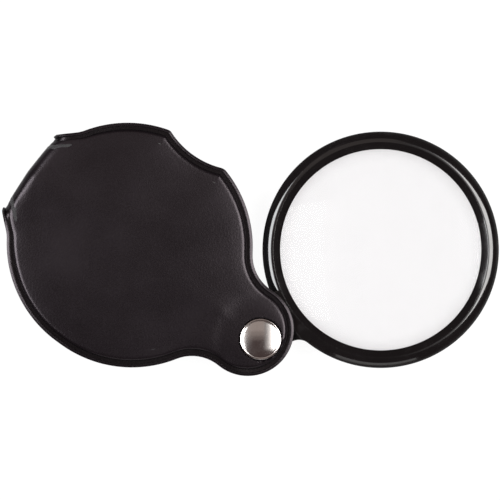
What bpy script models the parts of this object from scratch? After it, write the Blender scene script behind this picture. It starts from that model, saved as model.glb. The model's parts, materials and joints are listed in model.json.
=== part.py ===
"""Folding pocket magnifier: a round glass lens in a moulded frame, riveted into a padded folding case.

Metres, +Z up. The object lies flat with the lens swung out of its case. The origin is the middle of
its bounding box on the plane it lies on, +X runs from the case to the lens, and +Z faces the reader.
The case is one blank of coated fabric folded over at its straight end, so a flap lies on each side of
the lens frame. A hollow double cap rivet joins both flaps to the ear of the lens frame, which turns
freely about the rivet.
"""

import math

import bmesh
import bpy
from mathutils import Vector
from mathutils.geometry import delaunay_2d_cdt

# ---------------------------------------------------------------- driving dimensions, metres
HALF_THICKNESS = 0.0060  # half of the closed case
PIVOT = (0.0031, -0.0258, HALF_THICKNESS)  # the rivet's axis, halfway through the case
CASE_ANGLE = math.radians(144.3)  # from +X to the line from the rivet to the fold
LENS_ANGLE = math.radians(36.6)  # from +X to the line from the rivet to the lens centre

# Outline of a flap: x runs from the rivet to the fold, y runs across.
LOBE_CENTRE, LOBE_RADIUS = (0.00455, 0.0), 0.01325  # round end that holds the rivet
BODY_NEAR, BODY_FAR = (0.0455, 0.0), (0.0470, 0.0)  # centres of the body's two round halves
BODY_RADIUS = 0.0347
WAIST_RADIUS = 0.0120  # hollow between lobe and body
NOTCH_CENTRE, NOTCH_RADIUS = (0.0467, -0.05565), 0.0240  # thumb notch in one side
NOTCH_CORNERS = (0.0030, 0.0018)  # rounding where the notch meets the body
SHOULDER_RADIUS = 0.0080  # hollow between body and fold
FLARE_ANGLE = math.radians(140.0)  # direction of the straight edge that leaves the fold
FOLD_REACH = 0.08265  # rivet to the outside of the fold
FOLD_HALF_WIDTH = 0.0131

# Layers of a flap, from the inside out.
LINING_INSIDE = 0.0036  # height of the lining's inner face above the mid plane
LINING_PINCHED = 0.0025  # the same under the rivet's cap
LINING_THICKNESS = 0.00035
BOARD_THICKNESS = 0.0006
FOAM_THICKNESS = 0.0005
SKIN_THICKNESS = 0.0005
LAYER_GAP = 0.00015
RIM_WIDTH = 0.0021  # welded rim without board or foam
RIM_STEP = 0.0008  # width of the slope from the rim up to the padded panel
BOARD_INSET = 0.0036
FILLING_END = 0.0715  # boards and foam stop here, short of the fold
FOAM_START = 0.0165  # foam stops here, clear of the rivet
PINCH_NEAR, PINCH_FAR = 0.0066, 0.0115  # the flaps close in between these distances from the rivet
PADDING_NEAR, PADDING_FAR = 0.0080, 0.0130  # the panel rises to its padded height between these
FLAP_HOLE_RADIUS = 0.0030

# Lens frame: x runs from the rivet to the lens centre.
LENS_OFFSET = 0.0430
RING_RADIUS, RING_HALF = 0.0340, 0.0031
RING_CREST_RADIUS = 0.0320
RING_ROUNDING = 0.0011  # how far the rounded outer edge comes down
APERTURE_RADIUS = 0.0289
BEVEL_TOP = (0.0314, 0.0030)  # radius and height where the bevel to the aperture begins
BEVEL_FOOT = 0.0016  # its height at the aperture
BACK_EDGE = (0.0312, 0.0030)
LENS_SEAT = 0.00115  # height of the lip that the lens rests against
LENS_BORE_RADIUS, LENS_BORE_LOW = 0.03015, 0.0025
SNAP_GROOVE_RADIUS, SNAP_GROOVE_TOP, SNAP_GROOVE_LOW = 0.0306, 0.00105, 0.00235
SNAP_RING_RADIUS, SNAP_RING_TOP, SNAP_RING_LOW = 0.03045, 0.00115, 0.00225
SNAP_RING_CHAMFER = 0.0003
EAR_RADIUS, EAR_HALF, EAR_FILLET = 0.0060, 0.0018, 0.0040
EAR_BORE_RADIUS = 0.0035
LENS_RADIUS, LENS_EDGE_HALF, LENS_CURVATURE = 0.0300, 0.0008, 0.190

# Rivet and bearing.
CAP_RADIUS, CAP_TOP = 0.0060, 0.00595
CAP_CURVATURE, CAP_SHEET = 0.0180, 0.0003
CAP_ROLL, CAP_LIP = 0.000335, 0.0002  # radius of the rolled edge, and thickness of the lip under the flange
CAP_LIP_RADIUS, CAP_INSIDE_RADIUS = 0.0044, 0.0054
FLANGE_RADIUS, FLANGE_LOW, FLANGE_HIGH = 0.0050, 0.00460, 0.00485
SHANK_RADIUS, SHANK_BORE = 0.0020, 0.0014
SHANK_SHORT = 0.0003  # how far the shank's tip stops short of the back flange
SHANK_ROOF, DIMPLE = 0.0006, 0.0002  # solid metal over the shank's bore, and the punch mark in it
SOCKET_TOP = 0.0020
SOCKET_RADIUS, SOCKET_BORE = 0.0027, 0.0022
SLEEVE_RADIUS, SLEEVE_BORE, SLEEVE_HALF = 0.0034, 0.00285, 0.00235
WASHER_RADIUS, WASHER_BORE = 0.0058, 0.0036
WASHER_LOW, WASHER_HIGH = 0.00195, 0.00235

# Worked out from the above.
FOLD_RADIUS = HALF_THICKNESS
BEND_START = FOLD_REACH - FOLD_RADIUS  # the sheets are flat up to here
PANEL_INSIDE = HALF_THICKNESS - SKIN_THICKNESS
SHEET_PAIR = LINING_THICKNESS + LAYER_GAP
BOARD_LIFT = SHEET_PAIR
PANEL_LIFT = BOARD_LIFT + BOARD_THICKNESS + LAYER_GAP
FOAM_LIFT = PANEL_INSIDE - LINING_INSIDE - PANEL_LIFT
FOLD_LIFT = PANEL_INSIDE - SHEET_PAIR - LINING_INSIDE

PANEL_INSET = RIM_WIDTH + RIM_STEP
FREE_INSET = PANEL_INSET + 0.0012  # free points keep this far from the outline

# Fineness of the meshes.
BEND_STEPS = 6
RIVET_RINGS = (0.0046, 0.0066, 0.0082, 0.0098, 0.0115)  # rings of points about the rivet
RING_POINTS = 20
OUTER_RING = 0.0132
GRID_SPACING, GRID_START, GRID_ROWS = 0.0095, 0.0140, 7  # the grid of points keeps clear of the rings
SHARED_NEAR_RIVET, SHARED_NEAR_FOLD = 0.0165, FILLING_END - 0.0015
FILLING_TO_BEND = (0.0008, 0.0022, 0.0037)  # rows of points past the filling's end
FOLD_ROW_SPACING = 0.0052
HOLE_POINTS = 24
FINEST_CORNER = 0.0004
MERGE = 0.00001


# ---------------------------------------------------------------- scene and materials
for old in list(bpy.data.objects):
    bpy.data.objects.remove(old)

parts = bpy.data.collections.new("folding_magnifier")
helpers = bpy.data.collections.new("helpers")
bpy.context.scene.collection.children.link(parts)
bpy.context.scene.collection.children.link(helpers)


def material(name, colour, roughness, metallic=0.0, transmission=0.0):
    made = bpy.data.materials.new(name)
    made.use_nodes = True
    shader = made.node_tree.nodes["Principled BSDF"]
    shader.inputs["Base Color"].default_value = (*colour, 1.0)
    shader.inputs["Roughness"].default_value = roughness
    shader.inputs["Metallic"].default_value = metallic
    shader.inputs["Transmission Weight"].default_value = transmission
    return made


COATED_FABRIC = material("coated_fabric", (0.020, 0.017, 0.020), 0.45)
LINING = material("lining", (0.015, 0.014, 0.016), 0.60)
GREYBOARD = material("greyboard", (0.23, 0.21, 0.19), 0.90)
FOAM = material("foam", (0.05, 0.05, 0.05), 0.95)
NICKEL = material("nickel", (0.72, 0.70, 0.67), 0.12, metallic=1.0)
PLATED_TUBE = material("plated_tube", (0.66, 0.64, 0.60), 0.30, metallic=1.0)
BLACK_PLASTIC = material("black_plastic", (0.010, 0.009, 0.010), 0.12)
NYLON = material("nylon", (0.55, 0.54, 0.50), 0.45)
CROWN_GLASS = material("crown_glass", (0.95, 0.97, 0.97), 0.02, transmission=1.0)


def empty(name, angle):
    """An empty on the rivet's axis, which carries the pieces of one side."""
    made = bpy.data.objects.new(name, None)
    made.location = PIVOT
    made.rotation_euler = (0.0, 0.0, angle)
    made.empty_display_size = 0.01
    parts.objects.link(made)
    return made


case = empty("case", CASE_ANGLE)
lens_swing = empty("lens_swing", LENS_ANGLE)


def add(name, mesh, surface, parent, collection=parts):
    """An object from a mesh, placed in its parent's frame."""
    made = bpy.data.objects.new(name, mesh)
    made.parent = parent
    mesh.materials.append(surface)
    collection.objects.link(made)
    if collection is helpers:
        made.hide_render = True
        made.display_type = "WIRE"
    return made


# ---------------------------------------------------------------- plane geometry
def arc(centre, radius, start, end, steps, hollow=False):
    """Points on a circle from start towards end, both given as points; a hollow arc runs clockwise."""
    first = math.atan2(start[1] - centre[1], start[0] - centre[0])
    last = math.atan2(end[1] - centre[1], end[0] - centre[0])
    if hollow and last > first:
        last -= math.tau
    if not hollow and last < first:
        last += math.tau
    turns = [first + (last - first) * i / steps for i in range(steps + 1)]
    return [(centre[0] + radius * math.cos(t), centre[1] + radius * math.sin(t)) for t in turns]


def crossing(centre_a, reach_a, centre_b, reach_b, side):
    """The point at given distances from two centres; side picks the one left (1) or right (-1) of a to b."""
    gap_x, gap_y = centre_b[0] - centre_a[0], centre_b[1] - centre_a[1]
    gap = math.hypot(gap_x, gap_y)
    along = (gap**2 + reach_a**2 - reach_b**2) / (2 * gap)
    off = side * math.sqrt(reach_a**2 - along**2)
    return (
        centre_a[0] + (along * gap_x - off * gap_y) / gap,
        centre_a[1] + (along * gap_y + off * gap_x) / gap,
    )


def toward(centre, point, radius):
    """The point at a radius from a centre, on the way to another point."""
    reach = math.dist(centre, point)
    return tuple(c + (p - c) * radius / reach for c, p in zip(centre, point))


def mirrored(points):
    return [(x, -y) for x, y in reversed(points)]


def smooth_step(value):
    value = min(max(value, 0.0), 1.0)
    return value * value * (3.0 - 2.0 * value)


def inside(point, loop):
    """Whether a point is inside a closed loop of points."""
    x, y = point
    odd = False
    for (x1, y1), (x2, y2) in zip(loop, loop[1:] + loop[:1]):
        if (y1 > y) != (y2 > y) and x < x1 + (x2 - x1) * (y - y1) / (y2 - y1):
            odd = not odd
    return odd


# ---------------------------------------------------------------- outline of a flap
def bend_rows():
    """Plan positions of the rows of points round the bend, evenly spaced along the sheet."""
    turns = [math.pi / 2 * i / BEND_STEPS for i in range(1, BEND_STEPS + 1)]
    return [BEND_START + FOLD_RADIUS * math.sin(t) for t in turns]


def fold_edge(inset):
    """The straight edge from the fold up to the shoulder, on the plain side."""
    run = (math.cos(FLARE_ANGLE), math.sin(FLARE_ANGLE))
    out = (run[1], -run[0])
    foot = (FOLD_REACH, FOLD_HALF_WIDTH)
    corner = tuple(f + SHOULDER_RADIUS * o for f, o in zip(foot, out))
    # The shoulder's centre slides along the edge until it just touches the body's circle.
    reach = BODY_RADIUS + SHOULDER_RADIUS
    gap = (corner[0] - BODY_FAR[0], corner[1] - BODY_FAR[1])
    half = gap[0] * run[0] + gap[1] * run[1]
    slide = -half - math.sqrt(half**2 - gap[0] ** 2 - gap[1] ** 2 + reach**2)
    centre = (corner[0] + slide * run[0], corner[1] + slide * run[1])
    touch = tuple(c - (SHOULDER_RADIUS + inset) * o for c, o in zip(centre, out))

    def on_edge(x):
        return (x, touch[1] + (x - touch[0]) * run[1] / run[0])

    points = [on_edge(x) for x in reversed([BEND_START] + bend_rows()) if x > touch[0]]
    return points, centre, touch


def plain_side(inset, end=None):
    """The plain side of the outline, from the fold (or a straight end short of it) to the lobe's nose."""
    body = BODY_RADIUS - inset
    lobe = LOBE_RADIUS - inset
    waist = WAIST_RADIUS + inset
    hollow = crossing(LOBE_CENTRE, LOBE_RADIUS + WAIST_RADIUS, BODY_NEAR, BODY_RADIUS + WAIST_RADIUS, 1)
    near_touch = toward(BODY_NEAR, hollow, body)
    lobe_touch = toward(LOBE_CENTRE, hollow, lobe)
    far_top = (BODY_FAR[0], body)
    near_top = (BODY_NEAR[0], body)
    nose = (LOBE_CENTRE[0] - lobe, 0.0)
    if end is None:
        points, shoulder, touch = fold_edge(inset)
        far_touch = toward(BODY_FAR, shoulder, body)
        points += arc(shoulder, SHOULDER_RADIUS + inset, touch, far_touch, 3, hollow=True)[:-1]
    else:
        points = []
        far_touch = (end, math.sqrt(body**2 - (end - BODY_FAR[0]) ** 2))
    points += arc(BODY_FAR, body, far_touch, far_top, 9)
    points += arc(BODY_NEAR, body, near_top, near_touch, 9)[:-1]
    points += arc(hollow, waist, near_touch, lobe_touch, 5, hollow=True)[:-1]
    points += arc(LOBE_CENTRE, lobe, lobe_touch, nose, 10)
    return points


def notch_side(inset, end=None):
    """The other side, from the lobe's nose back to the fold, with the thumb notch in it."""
    plain = mirrored(plain_side(inset, end))
    body, notch = BODY_RADIUS - inset, NOTCH_RADIUS + inset
    corners = [max(r - inset, FINEST_CORNER) for r in NOTCH_CORNERS]
    near, far = (
        crossing(centre, body - r, NOTCH_CENTRE, notch + r, side)
        for centre, r, side in zip((BODY_NEAR, BODY_FAR), corners, (-1, 1))
    )
    near_body, near_notch = toward(BODY_NEAR, near, body), toward(NOTCH_CENTRE, near, notch)
    far_body, far_notch = toward(BODY_FAR, far, body), toward(NOTCH_CENTRE, far, notch)
    cut = arc(near, corners[0], near_body, near_notch, 3)
    cut += arc(NOTCH_CENTRE, notch, near_notch, far_notch, 8, hollow=True)[1:-1]
    cut += arc(far, corners[1], far_notch, far_body, 3)
    before = [p for p in plain if p[0] < near_body[0] - 0.001]
    after = [p for p in plain if p[0] > far_body[0] + 0.001]
    return before + cut + after


def outline(inset, end=None):
    """One flap's outline as an open run of points, from the fold round the lobe and back to the fold."""
    return plain_side(inset, end) + notch_side(inset, end)[1:]


# ---------------------------------------------------------------- heights of the layers
def lining_height(point):
    """Inner face of the lining: pinched at the rivet, and close under the skin at the fold."""
    reach = math.hypot(*point)
    pinch = 1.0 - smooth_step((reach - PINCH_NEAR) / (PINCH_FAR - PINCH_NEAR))
    rise_from = FILLING_END + FILLING_TO_BEND[0]
    fold = smooth_step((point[0] - rise_from) / (BEND_START - rise_from))
    return LINING_INSIDE - (LINING_INSIDE - LINING_PINCHED) * pinch + FOLD_LIFT * fold


def rim_height(point):
    return lining_height(point) + SHEET_PAIR


def board_height(point):
    return lining_height(point) + BOARD_LIFT


def panel_height(point):
    """Inner face of the skin over the boards, and over the foam once that begins."""
    padded = smooth_step((math.hypot(*point) - PADDING_NEAR) / (PADDING_FAR - PADDING_NEAR))
    return min(lining_height(point) + PANEL_LIFT + FOAM_LIFT * padded, PANEL_INSIDE)


def foam_height(point):
    return LINING_INSIDE + PANEL_LIFT


# ---------------------------------------------------------------- sheets
def developed(point):
    """A plan position measured along the sheet, round the bend at the fold."""
    x, y = point
    if x <= BEND_START:
        return Vector((x, y))
    return Vector((BEND_START + FOLD_RADIUS * math.asin(min((x - BEND_START) / FOLD_RADIUS, 1.0)), y))


def lifted(point, height):
    """A plan position at its height on the front flap, or round the bend at that height as radius."""
    x, y = point
    if x <= BEND_START:
        return (x, y, height)
    turn = math.asin(min((x - BEND_START) / FOLD_RADIUS, 1.0))
    up = 0.0 if turn > math.pi / 2 - 0.001 else height * math.cos(turn)
    return (BEND_START + height * math.sin(turn), y, up)


def inner_points(boundary, spacing, fine):
    """Points spread inside a boundary: a grid, rings round the rivet, and rows across the bend."""
    points = []
    for i in range(1, int(FILLING_END / spacing) + 1 if spacing else 0):
        shift = spacing / 2 * (i % 2)
        row = [(spacing * i, shift + spacing * j) for j in range(-GRID_ROWS, GRID_ROWS + 1)]
        points += [p for p in row if math.hypot(*p) > GRID_START]
    for i, reach in enumerate(fine):
        turns = [math.tau * (j + 0.5 * (i % 2)) / RING_POINTS for j in range(RING_POINTS)]
        points += [(reach * math.cos(t), reach * math.sin(t)) for t in turns]
    if boundary[0][0] > FILLING_END + 0.001:
        across = [FILLING_END + step for step in FILLING_TO_BEND] + [BEND_START] + bend_rows()
        points += [(x, FOLD_ROW_SPACING * j) for x in across for j in range(-4, 5)]
    return [p for p in points if inside(p, boundary)]


def sheet_mesh(name, loops, free_points, hole_radius):
    """An open sheet. loops is [(points, height function)], the first one its edge; the free points
    take the last loop's height function."""
    flat, heights, edges = [], [], []
    for number, (points, height) in enumerate(loops):
        start = len(flat)
        flat += points
        heights += [height] * len(points)
        edges += [(i, i + 1) for i in range(start, len(flat) - 1)]
        if number == 0:
            edges.append((len(flat) - 1, start))
    if hole_radius:
        start = len(flat)
        turns = [math.tau * i / HOLE_POINTS for i in range(HOLE_POINTS)]
        flat += [(hole_radius * math.cos(t), hole_radius * math.sin(t)) for t in turns]
        heights += [loops[-1][1]] * HOLE_POINTS
        edges += [(start + i, start + (i + 1) % HOLE_POINTS) for i in range(HOLE_POINTS)]
    flat += free_points
    heights += [loops[-1][1]] * len(free_points)
    scaled = [developed(p) * 1000.0 for p in flat]
    _, _, faces, sources, _, _ = delaunay_2d_cdt(scaled, edges, [], 0, 0.001, True)
    made = bmesh.new()
    vertices = [made.verts.new(lifted(flat[s[0]], heights[s[0]](flat[s[0]]))) for s in sources]
    for face in faces:
        middle = [sum(flat[sources[i][0]][axis] for i in face) / 3 for axis in (0, 1)]
        if inside(middle, loops[0][0]) and math.hypot(*middle) > hole_radius * 0.99:
            made.faces.new([vertices[i] for i in face])
    bmesh.ops.delete(made, geom=[v for v in made.verts if not v.link_faces], context="VERTS")
    mesh = bpy.data.meshes.new(name)
    made.to_mesh(mesh)
    made.free()
    return mesh


def thicken(sheet, thickness):
    """Solidify outwards from the sheet's inner face."""
    solid = sheet.modifiers.new("thickness", "SOLIDIFY")
    solid.thickness = thickness
    solid.offset = 1.0
    return solid


def across_the_fold(sheet):
    """Mirror the front flap through the mid plane, so that both flaps meet round the fold."""
    other = sheet.modifiers.new("back_flap", "MIRROR")
    other.use_axis = (False, False, True)
    other.merge_threshold = 0.0001


def where_it_bends(inset):
    """The points of an inset outline near the rivet and near the fold. Layers that share them there
    have facets that lie parallel, so that they keep their gap."""
    points = outline(inset)
    return [p for p in points if math.hypot(*p) < SHARED_NEAR_RIVET or p[0] > SHARED_NEAR_FOLD]


def blank_points():
    """The free points of a whole blank, which the skin and the lining share."""
    return inner_points(outline(FREE_INSET), GRID_SPACING, (*RIVET_RINGS, OUTER_RING))


def make_skin():
    """One blank: both flaps with a flat welded rim and a raised panel, and the bend between them."""
    loops = [
        (outline(0.0), rim_height),
        (outline(RIM_WIDTH), rim_height),
        (outline(PANEL_INSET), panel_height),
    ]
    mesh = sheet_mesh("case_outer_skin", loops, blank_points(), FLAP_HOLE_RADIUS)
    skin = add("case_outer_skin", mesh, COATED_FABRIC, case)
    across_the_fold(skin)
    thicken(skin, SKIN_THICKNESS)


def make_lining():
    loops = [(outline(0.0), lining_height)]
    free = blank_points() + where_it_bends(RIM_WIDTH) + where_it_bends(PANEL_INSET)
    mesh = sheet_mesh("case_lining", loops, free, FLAP_HOLE_RADIUS)
    lining = add("case_lining", mesh, LINING, case)
    across_the_fold(lining)
    thicken(lining, LINING_THICKNESS)


def on_both_flaps(name, loops, free, hole, surface, thickness):
    """A filling sheet in the front flap, and its mirror image in the back flap."""
    for side, sign in (("front", 1.0), ("back", -1.0)):
        title = f"{side}_{name}"
        mesh = sheet_mesh(title, loops, free, hole)
        if sign < 0:
            for vertex in mesh.vertices:
                vertex.co.z = -vertex.co.z
            mesh.flip_normals()
        piece = add(title, mesh, surface, case)
        thicken(piece, thickness)


def make_boards():
    loops = [(outline(BOARD_INSET, FILLING_END), board_height)]
    free = inner_points(outline(FREE_INSET, FILLING_END), 0.0, RIVET_RINGS)
    on_both_flaps("stiffener_board", loops, free, FLAP_HOLE_RADIUS, GREYBOARD, BOARD_THICKNESS)


def make_foam():
    edge = [p for p in outline(BOARD_INSET, FILLING_END) if p[0] > FOAM_START]
    on_both_flaps("foam_pad", [(edge, foam_height)], [], 0.0, FOAM, FOAM_THICKNESS)


# ---------------------------------------------------------------- turned pieces
def turned(name, profile, surface, parent, steps, offset=0.0, closed=True, collection=parts):
    """A closed profile of (radius, height) turned about Z at an offset along x."""
    mesh = bpy.data.meshes.new(name)
    count = len(profile)
    edges = [(i, i + 1) for i in range(count - 1)] + ([(count - 1, 0)] if closed else [])
    mesh.from_pydata([(r, 0.0, z) for r, z in profile], edges, [])
    piece = add(name, mesh, surface, parent, collection)
    piece.location.x = offset
    screw = piece.modifiers.new("turn", "SCREW")
    screw.axis = "Z"
    screw.angle = math.tau
    screw.steps = screw.render_steps = steps
    screw.use_merge_vertices = True
    screw.merge_threshold = MERGE
    screw.use_smooth_shade = True
    return piece


def flipped(profile):
    """The same profile upside down, still running down its outer side."""
    return [(r, -z) for r, z in reversed(profile)]


def quarter(centre_r, centre_z, reach_r, reach_z, start, end, steps):
    """Part of an ellipse; angles in degrees from straight up, turning outwards."""
    turns = [math.radians(start + (end - start) * i / steps) for i in range(steps + 1)]
    return [(centre_r + reach_r * math.sin(t), centre_z + reach_z * math.cos(t)) for t in turns]


def cap_profile():
    """A domed cap of thin sheet whose edge is rolled under the flange inside it."""
    dome_end = CAP_RADIUS - CAP_ROLL * 0.75
    lean = math.degrees(math.asin(dome_end / CAP_CURVATURE))
    centre_z = CAP_TOP - CAP_CURVATURE
    outer = [(CAP_CURVATURE * math.sin(t), centre_z + CAP_CURVATURE * math.cos(t))
             for t in (math.radians(lean * i / 4) for i in range(5))]
    edge_r = outer[-1][0] - CAP_ROLL * math.sin(math.radians(lean))
    edge_z = outer[-1][1] - CAP_ROLL * math.cos(math.radians(lean))
    rolled = quarter(edge_r, edge_z, CAP_ROLL, CAP_ROLL, lean, 180.0, 5)[1:]
    low = rolled[-1][1]
    lip = [(CAP_LIP_RADIUS, low), (CAP_LIP_RADIUS, low + CAP_LIP), (CAP_INSIDE_RADIUS, low + CAP_LIP)]
    inner_reach = CAP_CURVATURE - CAP_SHEET
    inner_lean = math.asin(CAP_INSIDE_RADIUS / inner_reach)
    inner = [(inner_reach * math.sin(t), centre_z + inner_reach * math.cos(t))
             for t in (inner_lean * (4 - i) / 4 for i in range(5))]
    return outer + rolled + lip + inner


def make_rivet():
    turned("rivet_front_cap", cap_profile(), NICKEL, case, 28, closed=False)
    turned("rivet_back_cap", flipped(cap_profile()), NICKEL, case, 28, closed=False)
    tip = -FLANGE_LOW + SHANK_SHORT
    post = [
        (0.0, FLANGE_HIGH), (FLANGE_RADIUS, FLANGE_HIGH), (FLANGE_RADIUS, FLANGE_LOW),
        (SHANK_RADIUS, FLANGE_LOW), (SHANK_RADIUS, tip), (SHANK_BORE, tip),
        (SHANK_BORE, FLANGE_LOW - SHANK_ROOF), (0.0, FLANGE_LOW - DIMPLE),
    ]
    turned("rivet_post", post, PLATED_TUBE, case, 24, closed=False)
    socket = [
        (SOCKET_BORE, SOCKET_TOP), (SOCKET_RADIUS, SOCKET_TOP), (SOCKET_RADIUS, -FLANGE_LOW),
        (FLANGE_RADIUS, -FLANGE_LOW), (FLANGE_RADIUS, -FLANGE_HIGH), (SOCKET_BORE, -FLANGE_HIGH),
    ]
    turned("rivet_socket", socket, PLATED_TUBE, case, 24)
    sleeve = [
        (SLEEVE_BORE, SLEEVE_HALF), (SLEEVE_RADIUS, SLEEVE_HALF),
        (SLEEVE_RADIUS, -SLEEVE_HALF), (SLEEVE_BORE, -SLEEVE_HALF),
    ]
    turned("pivot_sleeve", sleeve, NYLON, case, 40)
    washer = [
        (WASHER_BORE, WASHER_HIGH), (WASHER_RADIUS, WASHER_HIGH),
        (WASHER_RADIUS, WASHER_LOW), (WASHER_BORE, WASHER_LOW),
    ]
    turned("front_washer", washer, NYLON, case, 32)
    turned("back_washer", flipped(washer), NYLON, case, 32)


def ring_profile():
    """Section of the lens frame: rounded outside, a bevel down to the aperture in front, and a bore
    with a snap groove for the lens and its retaining ring behind."""
    round_r = RING_RADIUS - RING_CREST_RADIUS
    shoulder = RING_HALF - RING_ROUNDING
    front = quarter(RING_CREST_RADIUS, shoulder, round_r, RING_ROUNDING, 0.0, 90.0, 5)
    back = [(r, -z) for r, z in reversed(front)]
    return [
        *front, *back,
        (BACK_EDGE[0], -BACK_EDGE[1]), (LENS_BORE_RADIUS, -LENS_BORE_LOW),
        (LENS_BORE_RADIUS, -SNAP_GROOVE_LOW), (SNAP_GROOVE_RADIUS, -SNAP_GROOVE_LOW),
        (SNAP_GROOVE_RADIUS, -SNAP_GROOVE_TOP), (LENS_BORE_RADIUS, -SNAP_GROOVE_TOP),
        (LENS_BORE_RADIUS, LENS_SEAT), (APERTURE_RADIUS, LENS_SEAT),
        (APERTURE_RADIUS, BEVEL_FOOT), BEVEL_TOP,
    ]


def ear_outline():
    """The ear: round about the rivet, with hollow fillets where it runs into the ring."""
    lens_centre = (LENS_OFFSET, 0.0)
    side = EAR_RADIUS + EAR_FILLET
    reach = RING_RADIUS + EAR_FILLET
    fillet = (LENS_OFFSET - math.sqrt(reach**2 - side**2), side)
    ring_touch = toward(lens_centre, fillet, RING_RADIUS)
    edge_touch = (fillet[0], EAR_RADIUS)
    root = toward(lens_centre, ring_touch, RING_CREST_RADIUS)
    half = [root]
    half += arc(fillet, EAR_FILLET, ring_touch, edge_touch, 5, hollow=True)
    half += arc((0.0, 0.0), EAR_RADIUS, (0.0, EAR_RADIUS), (-EAR_RADIUS, 0.0), 7)
    root_turn = math.atan2(root[1], LENS_OFFSET - root[0])
    turns = [root_turn * i / 3 for i in (-2, -1, 0, 1, 2)]
    inner = [(LENS_OFFSET - RING_CREST_RADIUS * math.cos(t), RING_CREST_RADIUS * math.sin(t)) for t in turns]
    return half + mirrored(half)[1:] + inner


def make_lens_frame():
    ring = turned("lens_frame", ring_profile(), BLACK_PLASTIC, lens_swing, 60, LENS_OFFSET)
    curve = bpy.data.curves.new("ear", "CURVE")
    curve.dimensions = "2D"
    curve.fill_mode = "BOTH"
    curve.extrude = EAR_HALF
    bore = [(EAR_BORE_RADIUS * math.cos(t), EAR_BORE_RADIUS * math.sin(t))
            for t in (math.tau * i / 40 for i in range(40))]
    for points in (ear_outline(), bore):
        spline = curve.splines.new("POLY")
        spline.points.add(len(points) - 1)
        for point, (x, y) in zip(spline.points, points):
            point.co = (x, y, 0.0, 1.0)
        spline.use_cyclic_u = True
    drawn = bpy.data.objects.new("ear_curve", curve)
    helpers.objects.link(drawn)
    bpy.context.view_layer.update()
    mesh = bpy.data.meshes.new_from_object(drawn.evaluated_get(bpy.context.evaluated_depsgraph_get()))
    bpy.data.objects.remove(drawn)
    welded = bmesh.new()
    welded.from_mesh(mesh)
    bmesh.ops.remove_doubles(welded, verts=welded.verts, dist=MERGE)
    bmesh.ops.recalc_face_normals(welded, faces=welded.faces)
    welded.to_mesh(mesh)
    welded.free()
    ear = add("ear_to_join", mesh, BLACK_PLASTIC, lens_swing, helpers)
    join = ring.modifiers.new("ear", "BOOLEAN")
    join.operation = "UNION"
    join.object = ear


def make_retaining_ring():
    """A springy plastic ring that snaps into the groove behind the lens."""
    low, high = -SNAP_RING_LOW, -SNAP_RING_TOP
    profile = [
        (APERTURE_RADIUS, high), (SNAP_RING_RADIUS, high), (SNAP_RING_RADIUS, low),
        (APERTURE_RADIUS + SNAP_RING_CHAMFER, low), (APERTURE_RADIUS, low + SNAP_RING_CHAMFER),
    ]
    turned("lens_retaining_ring", profile, BLACK_PLASTIC, lens_swing, 60, LENS_OFFSET)


def make_lens():
    """A biconvex lens with a ground edge."""
    drop = LENS_CURVATURE - math.sqrt(LENS_CURVATURE**2 - LENS_RADIUS**2)
    top = LENS_EDGE_HALF + drop
    lean = math.asin(LENS_RADIUS / LENS_CURVATURE)
    front = [(LENS_CURVATURE * math.sin(t), top - LENS_CURVATURE * (1 - math.cos(t)))
             for t in (lean * i / 5 for i in range(6))]
    back = [(r, -z) for r, z in reversed(front)]
    turned("lens", front + back, CROWN_GLASS, lens_swing, 48, LENS_OFFSET, closed=False)


make_skin()
make_lining()
make_boards()
make_foam()
make_rivet()
make_lens_frame()
make_retaining_ring()
make_lens()

bpy.context.view_layer.update()
for made in parts.objects:
    if made.type == "MESH":
        made.data.shade_smooth()
        made.data.set_sharp_from_angle(angle=math.radians(40.0))
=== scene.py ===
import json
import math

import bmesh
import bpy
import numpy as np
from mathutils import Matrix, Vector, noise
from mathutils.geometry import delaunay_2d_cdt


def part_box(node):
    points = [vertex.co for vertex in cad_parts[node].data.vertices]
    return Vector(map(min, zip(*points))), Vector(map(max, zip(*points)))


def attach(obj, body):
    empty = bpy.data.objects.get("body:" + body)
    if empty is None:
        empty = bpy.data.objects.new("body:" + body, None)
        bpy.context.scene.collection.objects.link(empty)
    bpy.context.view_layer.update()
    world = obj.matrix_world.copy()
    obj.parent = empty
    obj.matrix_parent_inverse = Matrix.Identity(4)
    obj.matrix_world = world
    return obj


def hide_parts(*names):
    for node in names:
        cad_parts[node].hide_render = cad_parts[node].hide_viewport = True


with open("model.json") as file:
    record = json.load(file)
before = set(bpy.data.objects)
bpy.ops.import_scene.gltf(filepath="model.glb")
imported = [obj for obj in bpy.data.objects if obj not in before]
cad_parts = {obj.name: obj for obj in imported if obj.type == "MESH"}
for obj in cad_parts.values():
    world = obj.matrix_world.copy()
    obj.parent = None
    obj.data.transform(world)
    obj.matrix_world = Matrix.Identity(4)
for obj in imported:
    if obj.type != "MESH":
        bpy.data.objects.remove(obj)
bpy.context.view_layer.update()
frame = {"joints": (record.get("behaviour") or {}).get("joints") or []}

# %% [markdown]
# # A folding pocket magnifier
# A round glass lens sits in a black moulded frame. The frame has an ear, and a domed nickel rivet
# holds the ear between the two flaps of a soft padded case, so the lens swings out to be used.
# The engineering model is already loaded: its plain solids say where everything is. This script
# gives each piece its real surface. Nothing is moved, so sizes come from the loaded solids and
# from the same few driving dimensions that the engineering model is drawn with.

MM = 0.001
PIVOT = Vector(frame["joints"][0]["pos_m"])
lens_low, lens_high = (Vector(corner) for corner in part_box("lens"))
LENS_CENTRE = (lens_low + lens_high) / 2
HALF_THICKNESS = PIVOT.z
print("rivet at", tuple(round(v / MM, 2) for v in PIVOT), "mm")
print("lens centre at", tuple(round(v / MM, 2) for v in LENS_CENTRE), "mm")

# %% [markdown]
# ## Camera
# The magnifier is looked at squarely from above, the way a catalogue shows it. A long lens more
# than a metre away hides the upright sides almost as well as an orthographic camera does, and from
# any other side it still gives some depth.

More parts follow.
